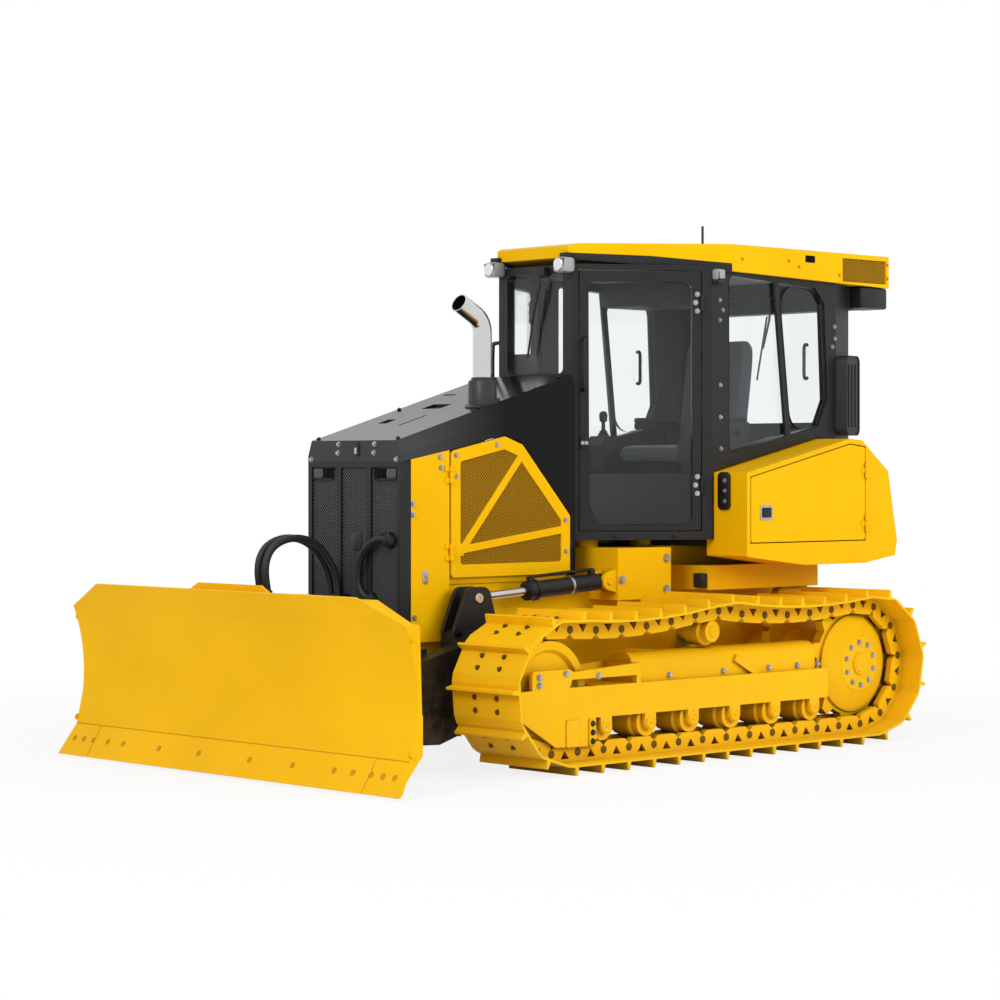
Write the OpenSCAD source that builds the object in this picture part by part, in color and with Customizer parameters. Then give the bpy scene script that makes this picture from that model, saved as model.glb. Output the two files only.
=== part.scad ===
// Crawler dozer with a closed cab and a blade that lifts, angles and tilts.
// X points forward, Y to the operator's left, Z up. The tracks stand on z = 0.

/* [Tracks] */
// Distance between the centre lines of the two tracks
track_gauge = 1882; // [1820:2:1960]
// Width of a track shoe
shoe_w = 486; // [440:2:500]
// Number of shoes in one track
shoe_n = 37; // [36:1:38]
// Height of the grouser bar on a shoe
grouser_h = 42; // [36:1:50]
// Thickness of a shoe plate
shoe_t = 12; // [10:1:16]
// Height of the chain links
link_h = 90; // [84:1:96]
// Width of one link rail
rail_w = 36; // [30:1:42]
// Distance from the track centre line to the inside of a rail
rail_in = 62; // [56:1:70]
// Place of the idler's centre along the machine
idler_x = 873; // [840:1:900]
// Radius of the chain's pins on the idler
idler_pr = 314; // [305:1:322]
// Place of the sprocket's centre along the machine
sprocket_x = -1548; // [-1580:1:-1520]
// Radius of the chain's pins on the sprocket
sprocket_pr = 336; // [326:1:345]
// Number of teeth on a sprocket
sprocket_teeth = 11; // [10:1:12]
// Radius of the final drive's housing beside the trunk
drive_r = 185; // [170:1:200]
// How far the final drive's cover stands out from the track's centre line
drive_out = 112; // [104:1:120]
// Place of the carrier roller along the machine
carrier_x = -322; // [-400:1:-250]
// Radius of the carrier roller's tread
carrier_r = 57; // [50:1:64]
// Height of the chain's pins over the carrier roller
carrier_pin_z = 779; // [770:1:790]
// How far the top of the chain hangs between its supports
top_sag = 42; // [20:1:60]
// Number of rollers under a track frame
roller_n = 6; // [5:1:7]
// Radius of a roller's tread
roller_r = 74; // [70:1:80]
// Place of the front roller
roller_front_x = 510; // [480:1:520]
// Place of the rear roller
roller_rear_x = -1121; // [-1150:1:-1090]
// Height of a roller's flanges
flange_h = 17; // [14:1:20]

/* [Track frame] */
// Height of the bottom of the track frame's beam
beam_z0 = 322; // [316:1:330]
// Height of the top of the spring housing on the beam
beam_z1 = 578; // [560:1:590]
// Width of the beam
beam_w = 172; // [160:2:190]
// Radius of the spring housing's top edges
beam_round = 62; // [40:1:70]
// Thickness of the roller guard plates
guard_t = 22; // [16:1:28]
// Distance from the track centre line to the outside of the guards
guard_out = 128; // [124:1:134]
// Height of the bottom of the guards
guard_z0 = 267; // [260:1:275]
// Height of the top of the guards
guard_z1 = 428; // [415:1:440]
// How far the guards reach in front of the idler's centre
guard_front = 231; // [215:1:245]
// Height of the foot of the front guards
guard_foot_z = 124; // [118:1:135]
// Height of the idler's slide block on the guard
yoke_h = 94; // [80:1:105]

/* [Blade] */
// Width of the moldboard
blade_w = 2690; // [2500:10:2900]
// Width of the blade along the cutting edge's tip
edge_w = 2754; // [2560:2:2960]
// Width of the straight top of the blade
blade_top_w = 2090; // [1900:10:2300]
// Height of the top of the blade
blade_top_z = 923; // [900:1:960]
// Height at which the top corners are cut off
blade_corner_z = 800; // [760:1:840]
// Height of the seam between moldboard and cutting edge
seam_z = 174; // [160:1:190]
// Height of the cutting edge's tip
tip_z = 15; // [10:1:25]
// Place of the cutting edge's tip along the machine
tip_x = 2185; // [2180:1:2190]
// How far the seam lies behind the tip
seam_back = 99; // [90:1:110]
// How far the top of the blade lies behind the tip
top_back = 16; // [10:1:30]
// How far the deepest point of the curve lies behind the tip
curve_back = 142; // [130:1:150]
// Height of the deepest point of the curve
curve_z = 500; // [470:1:530]
// Thickness of the moldboard plate
skin_t = 14; // [10:1:18]
// Thickness of the cutting edge
edge_t = 20; // [16:1:24]
// Length of an end bit of the cutting edge
end_bit_l = 262; // [240:2:290]
// Seam between the cutting edge's pieces
bit_gap = 2; // [1:0.5:3]
// How far the back of the blade lies behind the tip
blade_back = 182; // [178:1:190]
// Thickness of the blade's end plates and ribs
rib_t = 20; // [16:1:26]
// Distance from the middle to the blade's ribs
rib_y = 690; // [660:5:720]
// Width of the guard over the tilt cylinder
guard_w = 628; // [600:2:660]
// Height of the guard over the tilt cylinder
guard_h = 31; // [24:1:38]

/* [Push frame] */
// Place of the push frame's pivot along the machine
lift_x = 815; // [800:1:830]
// Height of the push frame's pivot
lift_z = 420; // [410:1:430]
// Distance from the middle to the inside of a push arm
arm_y0 = 510; // [500:1:520]
// Distance from the middle to the outside of a push arm
arm_y1 = 612; // [605:1:625]
// Radius of the push frame's pivot pins
lift_pin_r = 50; // [44:1:56]
// Running clearance of a pin in its bore
pin_gap = 0.05; // [0.02:0.01:0.09]
// Place of the push frame's cross beam along the machine
beam_x = 1600; // [1595:1:1605]
// Place of the blade's swivel axis along the machine
swivel_x = 1895; // [1885:1:1900]
// Height of the blade's tilt axis
tilt_z = 330; // [320:1:345]
// Radius of the swivel pin
swivel_r = 45; // [40:1:50]
// Radius of the tilt trunnion
trunnion_r = 62; // [56:1:68]
// Height of the swivel's hub between the ears
hub_h = 140; // [130:2:150]

/* [Cylinders] */
// Distance from the middle to the lift cylinders
lift_cyl_y = 480; // [476:1:484]
// Place of the lift rod's eye along the machine
lift_eye_x = 898; // [890:1:905]
// Height of the lift rod's eye
lift_eye_z = 864; // [858:1:868]
// Place of the lift barrel's pin along the machine
lift_base_x = -60; // [-70:1:-50]
// Height of the lift barrel's pin
lift_base_z = 925; // [918:1:930]
// Outside radius of a lift barrel
lift_barrel_r = 46; // [42:1:50]
// Radius of a lift rod
lift_rod_r = 23; // [20:1:26]
// Length of a lift barrel from its pin
lift_barrel_l = 573; // [560:1:590]
// Place of the angle barrel's pin along the machine
angle_base_x = 1300; // [1290:1:1305]
// Distance from the middle to the angle barrel's pin
angle_base_y = 470; // [462:1:478]
// Place of the angle rod's eye along the machine
angle_eye_x = 1960; // [1950:1:1965]
// Distance from the middle to the angle rod's eye
angle_eye_y = 400; // [390:1:410]
// Height of the angle cylinders
angle_z = 650; // [645:1:660]
// Outside radius of an angle barrel
angle_barrel_r = 44; // [40:1:48]
// Radius of an angle rod
angle_rod_r = 22; // [19:1:25]
// Length of an angle barrel from its pin
angle_barrel_l = 455; // [450:1:460]
// Place of the tilt cylinder along the machine
tilt_cyl_x = 1938; // [1932:1:1942]
// Height of the tilt cylinder
tilt_cyl_z = 850; // [846:1:856]
// Place of the tilt barrel's pin across the machine
tilt_base_y = -260; // [-270:1:-250]
// Place of the tilt rod's eye across the machine
tilt_eye_y = 330; // [320:1:340]
// Outside radius of the tilt barrel
tilt_barrel_r = 44; // [40:1:48]
// Radius of the tilt rod
tilt_rod_r = 23; // [20:1:26]
// Length of the tilt barrel from its pin
tilt_barrel_l = 400; // [390:1:410]
// Outside radius of every cylinder's eye
eye_r = 40; // [36:1:42]
// Width of every cylinder's eye
eye_w = 50; // [44:1:54]
// Radius of the pin in a barrel's eye
cyl_pin_r = 20; // [18:0.5:22]
// Length from a barrel's pin to its end cap
neck_l = 54; // [53:1:56]
// Side clearance of an eye between its cheeks
eye_gap = 6; // [5:1:9]
// Thickness of a cheek plate
cheek_t = 22; // [18:1:26]
// Radius of the hoses to the blade
hose_r = 19; // [16:1:22]

/* [Engine cover] */
// Width of the engine cover
hood_w = 742; // [720:2:760]
// Width of the flat top of the engine cover
hood_top_w = 684; // [660:2:700]
// How far the sloping edge beside the flat top reaches down
hood_edge = 80; // [60:1:100]
// Place of the front of the engine cover
hood_x1 = 1290; // [1280:1:1300]
// Place of the back of the engine cover
hood_x0 = 40; // [36:1:50]
// Height of the front edge of the cover's top
hood_front_z = 1676; // [1660:1:1690]
// Height of the back edge of the cover's top
hood_rear_z = 2040; // [2020:1:2060]
// Height of the top of the grille
grille_z1 = 1567; // [1550:1:1580]
// Height of the bottom of the grille
grille_z0 = 745; // [735:1:760]
// Depth of the grille's frame
grille_t = 70; // [60:1:80]
// Depth of the grille's mesh fields
mesh_in = 22; // [16:1:28]
// Width of the bars between the mesh fields
grille_bar = 34; // [26:1:44]
// Thickness of the side panels and doors
panel_t = 26; // [20:1:32]
// Height of the bottom of the side panels
panel_z0 = 640; // [630:1:650]
// Gap around a door
door_gap = 6; // [5:1:9]
// Place of the front edge of the engine door
edoor_x1 = 950; // [940:1:960]
// Place of the back edge of the engine door
edoor_x0 = 80; // [74:1:90]
// Height of the bottom of the engine door
edoor_z0 = 958; // [952:1:965]
// Height of the engine door's front top corner
edoor_z1 = 1627; // [1615:1:1640]
// Place of the engine door's highest corner
edoor_peak_x = 562; // [550:1:575]
// Height of the engine door's highest corner
edoor_peak_z = 1707; // [1695:1:1720]
// Width of the engine door's rim and spokes
edoor_rim = 66; // [56:1:80]
// Place of the exhaust stack along the machine
stack_x = 607; // [590:1:620]
// Place of the exhaust stack across the machine
stack_y = 245; // [235:1:255]
// Radius of the exhaust stack
stack_r = 50; // [44:1:56]
// Height of the straight part of the exhaust stack
stack_h = 450; // [430:5:470]
// Radius of a door hinge's knuckles
hinge_r = 12; // [10:1:14]
// Radius of a door hinge's pin
hinge_pin_r = 6; // [5:0.5:7]
// Half the height of a door hinge
hinge_h = 45; // [36:1:54]

/* [Cab] */
// Place of the cab's front
cab_x1 = -15; // [-20:1:-10]
// Width of the cab's front
cab_front_w = 580; // [560:2:600]
// Place of the rear door posts
post_x = -690; // [-700:1:-680]
// Width of the cab behind the doors
cab_w = 1400; // [1380:2:1420]
// Place of the cab's back
cab_x0 = -1925; // [-1940:1:-1910]
// Width of the cab's back
cab_rear_w = 1290; // [1270:2:1310]
// Length of the slanting rear corners
cab_corner_l = 180; // [160:2:200]
// Thickness of the cab's walls and posts
wall_t = 58; // [50:1:66]
// Height of the cab's floor
floor_z = 1140; // [1130:1:1150]
// Thickness of the cab's floor and platform
floor_t = 40; // [34:1:46]
// Height of the platform under the seat
deck_z = 1500; // [1490:1:1510]
// Height of the top of the cab's walls
cab_top_z = 2645; // [2635:1:2650]
// Width of the frame above a window
head_h = 45; // [40:1:52]
// Height of the roof above the cab's walls
roof_h = 124; // [116:1:132]
// How far the roof stands out beside the cab
roof_out = 35; // [30:1:40]
// Place of the roof's side corners
roof_corner_x = -816; // [-826:1:-806]
// Place of the roof's back edge
roof_x0 = -2185; // [-2190:1:-2180]
// Length of the vents in the roof's rear sides
vent_l = 420; // [390:5:440]
// Height of the cooling unit below the roof
unit_h = 120; // [110:1:130]
// Height of the aerial
aerial_h = 140; // [120:5:160]
// Thickness of the window glass
glass_t = 8; // [6:1:10]
// Width of the bar between the side window's panes
bar_w = 40; // [34:1:46]
// Width of the seat
seat_w = 500; // [480:5:520]

/* [Fenders] */
// Distance from the middle to a fender's inside
fender_y0 = 645; // [642:1:648]
// Distance from the middle to a fender's outside
fender_y1 = 940; // [920:1:960]
// Place of a fender's front
fender_x1 = -709; // [-720:1:-700]
// Place of a fender's back
fender_x0 = -2004; // [-2014:1:-1994]
// Height of a fender's bottom
fender_z0 = 995; // [985:1:1005]
// Height of a fender's front top edge
fender_front_z = 1508; // [1500:1:1516]
// Height of a fender's top at its highest point
fender_peak_z = 1700; // [1690:1:1710]
// Place of a fender's highest point
fender_peak_x = -1582; // [-1592:1:-1572]
// Place where a fender's outside starts to slant inwards
fender_slant_x = -1760; // [-1770:1:-1750]
// Thickness of a fender's walls
fender_t = 20; // [16:1:26]
// Place of a locker door's hinge edge
locker_x0 = -1715; // [-1725:1:-1705]
// Width of the rim around a locker door
locker_rim = 34; // [28:1:40]

/* [Hidden] */
$fn = 48;
EPS = 0.01;
half_gauge = track_gauge/2;
shoe_in = half_gauge - shoe_w/2;
shoe_out = half_gauge + shoe_w/2;
pin_n = link_h/2;
plate_n = pin_n + shoe_t;
tip_n = plate_n + grouser_h;
idler_z = tip_n + idler_pr;
sprocket_z = tip_n + sprocket_pr;
// room between the carrier roller's tread and the rails that hang over it
carrier_gap = 12;
carrier_z = carrier_pin_z - pin_n - carrier_r - carrier_gap;
roller_z = tip_n + pin_n + roller_r + 1;
guard_in = guard_out - guard_t;
hood_y = hood_w/2;
hood_ty = hood_top_w/2;
roof_z = cab_top_z + roof_h;

// Draws a side profile, given as X and Z, between two places across the machine
module slab(y0, y1) {
  translate([0, y1, 0]) rotate([90, 0, 0]) linear_extrude(y1 - y0) children();
}

// Draws a front outline, given as Y and Z, between two places along the machine
module front_slab(x0, x1) {
  translate([x0, 0, 0]) rotate([90, 0, 90]) linear_extrude(x1 - x0) children();
}

// Draws a plan outline from height z upwards
module plan_slab(z, h) {
  translate([0, 0, z]) linear_extrude(h) children();
}

// A cylinder across the machine
module rod_y(x, z, r, y0, y1) {
  translate([x, y0, z]) rotate([-90, 0, 0]) cylinder(r = r, h = y1 - y0);
}

// A cylinder along the machine, from a place towards the front
module rod_x(x, y, z, r, l) {
  translate([x, y, z]) rotate([0, 90, 0]) cylinder(r = r, h = l);
}

// A turned piece on the left track's centre line, from pairs of radius and offset
module turned(x, z, profile) {
  translate([x, half_gauge, z]) rotate([-90, 0, 0]) rotate_extrude() polygon(profile);
}

// A box given by its two corners
module box(a, b) {
  translate(a) cube(b - a);
}

// Mirrors a left-hand piece to the right
module right() {
  mirror([0, 1, 0]) children();
}

// A piece and its mirror image
module pair() {
  children();
  right() children();
}

hinge_leaf_l = 40;
hinge_leaf_t = 7;
// Fixed half of a door hinge: pin, outer knuckles and their leaf, along Z with the leaf to -X
module hinge_post() {
  knuckle = hinge_h*2/3 - 1;
  cylinder(r = hinge_pin_r, h = 2*hinge_h, center = true);
  for (z = [-hinge_h, hinge_h - knuckle]) translate([0, 0, z]) {
    cylinder(r = hinge_r, h = knuckle);
    translate([-hinge_leaf_l, -hinge_r - 1, 0]) cube([hinge_leaf_l, hinge_leaf_t, knuckle]);
  }
}

// Moving half of a door hinge, with its leaf to +X
module hinge_leaf() {
  knuckle = hinge_h*2/3;
  difference() {
    union() {
      cylinder(r = hinge_r, h = knuckle, center = true);
      translate([0, -hinge_r - 1, -knuckle/2]) cube([hinge_leaf_l, hinge_leaf_t, knuckle]);
    }
    cylinder(r = hinge_pin_r + pin_gap, h = 3*hinge_h, center = true);
  }
}

// Unit vector of v, and v turned a quarter to its left
function unit(v) = v/norm(v);
function left(v) = [-v[1], v[0]];

// Points of an arc from angle a0 to a1 about c
function arc(c, r, a0, a1, n = 12) =
  [for (i = [0:n]) let(a = a0 + (a1 - a0)*i/n) c + r*[cos(a), sin(a)]];

// Centre of the circle through three points, and the arc from the first to the last
function circ_c(p, q, s) =
  let(a = q - p, b = s - p, d = 2*(a[0]*b[1] - a[1]*b[0]), aa = a*a, bb = b*b)
  p + [b[1]*aa - a[1]*bb, a[0]*bb - b[0]*aa]/d;
function arc3(p, q, s, n = 12) =
  let(c = circ_c(p, q, s), r = norm(p - c), a0 = atan2(p[1] - c[1], p[0] - c[0]),
      a1r = atan2(s[1] - c[1], s[0] - c[0]), d = (a1r - a0 + 540) % 360 - 180)
  arc(c, r, a0, a0 + d, n);

// A polygon's corners moved inwards by d, for corners in anticlockwise order
function inset(p, d) =
  let(n = len(p))
  [for (i = [0:n - 1])
    let(a = unit(p[i] - p[(i + n - 1)%n]), b = unit(p[(i + 1)%n] - p[i]),
        m = left(a) + left(b))
    p[i] + m*(2*d/(m*m))];

// A polygon with its corners rounded
function rounded(p, r) =
  let(n = len(p))
  [for (i = [0:n - 1])
    let(a = unit(p[(i + n - 1)%n] - p[i]), b = unit(p[(i + 1)%n] - p[i]),
        w = acos(max(-1, min(1, a*b))), t = r/tan(w/2), c = p[i] + unit(a + b)*r/sin(w/2),
        s = p[i] + a*t, e = p[i] + b*t,
        a0 = atan2(s[1] - c[1], s[0] - c[0]), a1 = atan2(e[1] - c[1], e[0] - c[0]),
        d = (a1 - a0 + 540)%360 - 180)
    each arc(c, r, a0, a0 + d, 5)];

// A straight bar of width w between two points of a drawing
function bar(a, b, w) =
  let(s = left(unit(b - a))*w/2) [a - s, b - s, b + s, a + s];

// The chain's line through its pins: along the ground, round the sprocket, over the top, round the idler
function sagged(a, b, sag, n = 10) =
  [for (i = [1:n - 1]) let(t = i/n) a + (b - a)*t - [0, 4*sag*t*(1 - t)]];
sprocket_c = [sprocket_x, sprocket_z];
idler_c = [idler_x, idler_z];
top_mid = [carrier_x, carrier_pin_z];
// The chain leaves the sprocket and meets the idler at the slope of its hanging stretches
back_span = carrier_x - sprocket_x;
front_span = idler_x - carrier_x;
back_lean = atan(4*top_sag/back_span);
front_lean = atan((4*top_sag - carrier_pin_z + idler_z + idler_pr)/front_span);
top_back_p = sprocket_c + sprocket_pr*[sin(back_lean), cos(back_lean)];
top_front_p = idler_c + idler_pr*[-sin(front_lean), cos(front_lean)];
line_open = concat(
  [[idler_x, tip_n]],
  arc(sprocket_c, sprocket_pr, 270, 90 - back_lean, 30),
  sagged(top_back_p, top_mid, top_sag),
  [top_mid],
  sagged(top_mid, top_front_p, top_sag),
  arc(idler_c, idler_pr, 90 + front_lean, -84, 29));
line_pts = concat(line_open, [line_open[0]]);
line_s = [for (i = 0, s = 0; i < len(line_pts);
          s = s + (i + 1 < len(line_pts) ? norm(line_pts[i + 1] - line_pts[i]) : 0), i = i + 1) s];
line_l = line_s[len(line_s) - 1];
pitch = line_l/shoe_n;
function at_line(s, i = 0) =
  s <= line_s[i + 1] || i + 2 >= len(line_s)
    ? line_pts[i] + (line_pts[i + 1] - line_pts[i])*(s - line_s[i])/(line_s[i + 1] - line_s[i])
    : at_line(s, i + 1);
pins = [for (k = [0:shoe_n - 1]) at_line(k*pitch)];
function pin_at(k) = pins[(k + shoe_n)%shoe_n];
// A point of shoe k, u along it as a share of the pitch and n outwards from its pins
function shoe_pt(k, u, n) =
  let(a = pin_at(k), b = pin_at(k + 1), e = unit(b - a)) a + (b - a)*u + left(e)*n;
function pin_pt(k, n) =
  let(e = unit(pin_at(k + 1) - pin_at(k)), f = unit(pin_at(k) - pin_at(k - 1)))
  pin_at(k) + unit(left(e) + left(f))*n;
shoe_outline = [for (k = [0:shoe_n - 1]) each [
  shoe_pt(k, 0.03, plate_n), shoe_pt(k, 0.14, plate_n), shoe_pt(k, 0.17, tip_n),
  shoe_pt(k, 0.24, tip_n), shoe_pt(k, 0.29, plate_n), shoe_pt(k, 0.97, plate_n)]];
shoe_inner = [for (k = [0:shoe_n - 1]) pin_pt(k, pin_n)];
rail_outer = [for (k = [0:shoe_n - 1]) pin_pt(k, pin_n + shoe_t/3)];
rail_inner = [for (k = [0:shoe_n - 1]) each [
  pin_pt(k, -pin_n*0.45), shoe_pt(k, 0.16, -pin_n), shoe_pt(k, 0.84, -pin_n)]];
idler_tread_r = sqrt(idler_pr*idler_pr - pow(pitch/2, 2)) - pin_n - 1.5;

// One track: shoes with their grousers and two rails of links with their bolt windows
module track() {
  color("gold") union() {
    slab(shoe_in, shoe_out) difference() {
      polygon(shoe_outline);
      polygon(shoe_inner);
    }
    for (s = [-1, 1]) {
      y = half_gauge + s*(rail_in + rail_w/2);
      slab(y - rail_w/2, y + rail_w/2) difference() {
        polygon(rail_outer);
        polygon(rail_inner);
        for (k = [0:shoe_n - 1]) polygon([
          shoe_pt(k, 0.36, pin_n - 14), shoe_pt(k, 0.68, pin_n - 14), shoe_pt(k, 0.5, -pin_n/4)]);
      }
    }
  }
}

module track_l() { track(); }
module track_r() { right() track(); }

// Toothed drive wheel with the domed cover of the final drive
module sprocket() {
  tooth_in = sprocket_pr - pin_n;
  tooth_out = sprocket_pr + 8;
  tooth_w = rail_in - door_gap;
  cover_r = tooth_in - 20;
  rim = drive_r*0.9;
  step = 360/sprocket_teeth;
  tooth = [[0, tooth_in], [0.22, tooth_in], [0.36, tooth_out], [0.64, tooth_out], [0.78, tooth_in]];
  translate([sprocket_x, half_gauge, sprocket_z]) rotate([90, 0, 0])
    linear_extrude(tooth_w, center = true) polygon([for (k = [0:sprocket_teeth - 1]) each [
      for (q = tooth) q[1]*[cos((k + q[0])*step), sin((k + q[0])*step)]]]);
  turned(sprocket_x, sprocket_z, [
    [0, -tooth_w], [drive_r, -tooth_w], [drive_r, 0], [cover_r, 0], [cover_r, tooth_w*0.8],
    [cover_r - 24, tooth_w], [rim, drive_out - 24], [rim - 18, drive_out - 14], [66, drive_out - 14],
    [60, drive_out], [0, drive_out]]);
}

module sprockets() {
  color("gold") pair() sprocket();
}

roller_places = [for (i = [0:roller_n - 1])
  roller_front_x + (roller_rear_x - roller_front_x)*i/(roller_n - 1)];
// Half of a roller's section, from its middle flange to one end of its axle
function roller_half(r, end) = [
  [r + flange_h, rail_in - 12], [r, rail_in - 4], [r, rail_in + rail_w], [r*0.55, rail_in + rail_w],
  [r*0.4, end], [0, end]];
// A closed section that is the same on both sides
function both_sides(half) =
  concat([for (i = [len(half) - 1:-1:0]) [half[i][0], -half[i][1]]], half);

// Front idler, carrier roller and bottom rollers of one side
module running_gear() {
  for (x = roller_places) turned(x, roller_z, both_sides(roller_half(roller_r, guard_in)));
  turned(carrier_x, carrier_z, both_sides(roller_half(carrier_r, guard_in)));
  r = idler_tread_r;
  turned(idler_x, idler_z, both_sides([
    [r + 14, rail_in - 16], [r, rail_in - 8], [r, rail_in + 20], [r - 44, rail_in + 20],
    [r - 60, rail_in - 2], [r/2, rail_in + 4], [60, rail_in + 22], [60, guard_in], [0, guard_in]]));
}

module rollers() {
  color("gold") pair() running_gear();
}

// place of the spring housing's front, and of the two shafts that carry the track frame
spring_x1 = idler_x - 592;
shaft_x = carrier_x - 98;
shaft_z = beam_z0 + 148;
// Beam with its spring housing, roller guards and idler slides on one side
module track_frame() {
  yi = half_gauge - guard_out;
  yo = half_gauge + guard_out;
  beam_x0 = sprocket_x + sprocket_pr + 40;
  beam_x1 = idler_x - idler_tread_r - 54;
  foot_x0 = roller_front_x + 75;
  foot_x1 = idler_x + guard_front;
  guard = [[beam_x0 - 63, guard_z0], [foot_x0, guard_z0], [foot_x0, guard_foot_z],
           [idler_x - 4, guard_foot_z + 9], [foot_x1, guard_z0 + 6], [foot_x1 + 20, guard_z1 - 6],
           [idler_x + 107, guard_z1], [beam_x0 - 63, guard_z1]];
  slide_z = guard_z1 + yoke_h;
  lug_r = roller_r*0.55;
  slide = [[spring_x1, guard_z1 + 40], [idler_x - 120, guard_z1 + 40], [idler_x - 100, guard_z1 - 1],
           [idler_x + 160, guard_z1 - 1], [idler_x + 160, slide_z - 12], [idler_x + 148, slide_z],
           [idler_x - 100, slide_z], [idler_x - 130, slide_z - 16], [spring_x1, slide_z + 8]];
  box([beam_x0, half_gauge - guard_in - 1, beam_z0], [beam_x1, half_gauge + guard_in + 1, guard_z1]);
  translate([0, half_gauge, 0]) front_slab(beam_x0, spring_x1) polygon(concat(
    [[-beam_w/2, beam_z0], [beam_w/2, beam_z0]],
    arc([beam_w/2 - beam_round, beam_z1 - beam_round], beam_round, 0, 90, 6),
    arc([beam_round - beam_w/2, beam_z1 - beam_round], beam_round, 90, 180, 6)));
  // head of the spring housing, which the idler's slides bear on
  box([spring_x1 - 25, yi, guard_z1 - 1], [spring_x1 + 5, yo, slide_z + 8]);
  for (y = [yi, yo - guard_t]) {
    slab(y, y + guard_t) {
      polygon(guard);
      polygon(slide);
      // lugs that hold the rollers' axles
      for (x = roller_places) polygon(concat(
        [[x + lug_r, guard_z0 + 5], [x - lug_r, guard_z0 + 5]], arc([x, roller_z], lug_r, 180, 360, 10)));
    }
  }
  // strut against the housing
  slab(half_gauge + beam_w/2 - 10, yo - guard_t) polygon(
    bar([shaft_x - 80, beam_z1 - 60], [shaft_x - 270, guard_z1 - 10], 36));
  // bracket of the carrier roller, on the inner side
  slab(yi, yi + guard_t) polygon(concat(
    [[carrier_x - 120, beam_z1 - 60], [carrier_x - 120, guard_z1 - 1], [carrier_x + 120, guard_z1 - 1],
     [carrier_x + 120, beam_z1 - 60]], arc([carrier_x, carrier_z], 42, 0, 180, 8)));
  // shafts to the main frame
  shaft_end = half_gauge - beam_w/2 + 10;
  rod_y(shaft_x, shaft_z, 70, trunk_y, shaft_end);
  rod_y(beam_x0 + 90, shaft_z, 60, trunk_y, shaft_end);
}

module track_frames() {
  color("goldenrod") pair() track_frame();
}

trunk_y = 330;
trunk_x0 = -1850;
trunk_top = edoor_z0 - 18;
mount_h = 40;
side_t = 40;
belly_t = 30;
case_x = -420;
tow_x = trunk_x0 - 150;
tow_r = 22;
// Hull between the tracks: side rails, belly, gear case, and the mounts of drives, cylinders and cab
module main_frame() {
  mount_z = floor_z - mount_h;
  front_x = hood_x1 - grille_t - 5;
  hull = [[hood_x1, 600], [hood_x1, grille_z0], [front_x, grille_z0], [front_x, trunk_top],
          [-110, trunk_top], [-110, mount_z], [trunk_x0 + 150, mount_z], [trunk_x0, 900],
          [trunk_x0, 520], [trunk_x0 + 150, 360], [700, 330], [1000, 400]];
  color("orange") union() {
    difference() {
      slab(-trunk_y, trunk_y) polygon(hull);
      // well for the engine between the side rails
      slab(side_t - trunk_y, trunk_y - side_t) polygon([
        [case_x, 340 + belly_t], [700, 330 + belly_t], [1000, 400 + belly_t],
        [front_x - side_t, 480 + belly_t],
        [front_x - side_t, trunk_top + 10], [hood_x0, trunk_top + 10], [hood_x0, trunk_top - 60],
        [case_x, trunk_top - 60]]);
    }
    for (x = [-180, -600], y = [-240, 240]) translate([x, y, mount_z - 5])
      cylinder(r = 60, h = mount_h + 5);
    pair() {
      // cab mount box and the housing under the fender
      box([-527, trunk_y - 5, trunk_top - 120], [-110, lift_cyl_y + 65, mount_z]);
      box([trunk_x0 + 200, trunk_y - 5, fender_z0 - 135], [fender_x1 - 11, fender_y0, fender_z0]);
      // cheeks and pin of the lift barrel
      for (s = [-1, 1]) {
        y = lift_cyl_y + s*(eye_w/2 + eye_gap + cheek_t/2);
        slab(y - cheek_t/2, y + cheek_t/2) polygon(concat(
          [[-112, lift_base_z - 62]],
          arc([lift_base_x, lift_base_z], neck_l - eye_gap, -70, 70), [[-112, lift_base_z + 62]]));
      }
      pin_end = eye_w/2 + eye_gap + cheek_t + 8;
      rod_y(lift_base_x, lift_base_z, cyl_pin_r, lift_cyl_y - pin_end, lift_cyl_y + pin_end);
      // pivot pin of the push frame and the final drive
      rod_y(lift_x, lift_z, lift_pin_r, trunk_y - 5, arm_y1 + 20);
      rod_y(sprocket_x, sprocket_z, drive_r, trunk_y - 5, half_gauge - rail_in + door_gap);
    }
    drawbar();
  }
}

// Tow bracket with its pin hole
module drawbar() {
  ear_t = 30;
  difference() {
    union() {
      box([trunk_x0 - 40, -150, 430], [trunk_x0, 150, 640]);
      for (z = [470, 560]) plan_slab(z, ear_t)
        polygon(concat([[trunk_x0 - 40, -90]], [[trunk_x0 - 40, 90]], arc([tow_x, 0], 60, 110, 250)));
    }
    translate([tow_x, 0, 400]) cylinder(r = tow_r, h = 300);
  }
}

// Engine block between the side rails, on its four feet
module engine() {
  foot_y = trunk_y - side_t;
  color("dimgray") {
    box([250, -250, 560], [1120, 250, 1560]);
    for (x = [420, 960]) box([x - 60, -foot_y, 700], [x + 60, foot_y, 790]);
  }
}

hood_slope = (hood_rear_z - hood_front_z)/(hood_x1 - hood_x0);
function hood_z(x) = hood_front_z + (hood_x1 - x)*hood_slope;
panel_x1 = hood_x1 - 15;
function panel_z(x) = grille_z1 + (panel_x1 - x)*(edoor_z1 - grille_z1)/(panel_x1 - edoor_x1);
// Line along the side where the dark cover meets the painted panels
panel_top = [[panel_x1, grille_z1], [edoor_x1, edoor_z1], [edoor_peak_x, edoor_peak_z],
             [edoor_peak_x - 132, edoor_peak_z - 41], [edoor_x0 - door_gap, edoor_z0 + 327],
             [edoor_x0 - door_gap, edoor_z0]];

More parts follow.
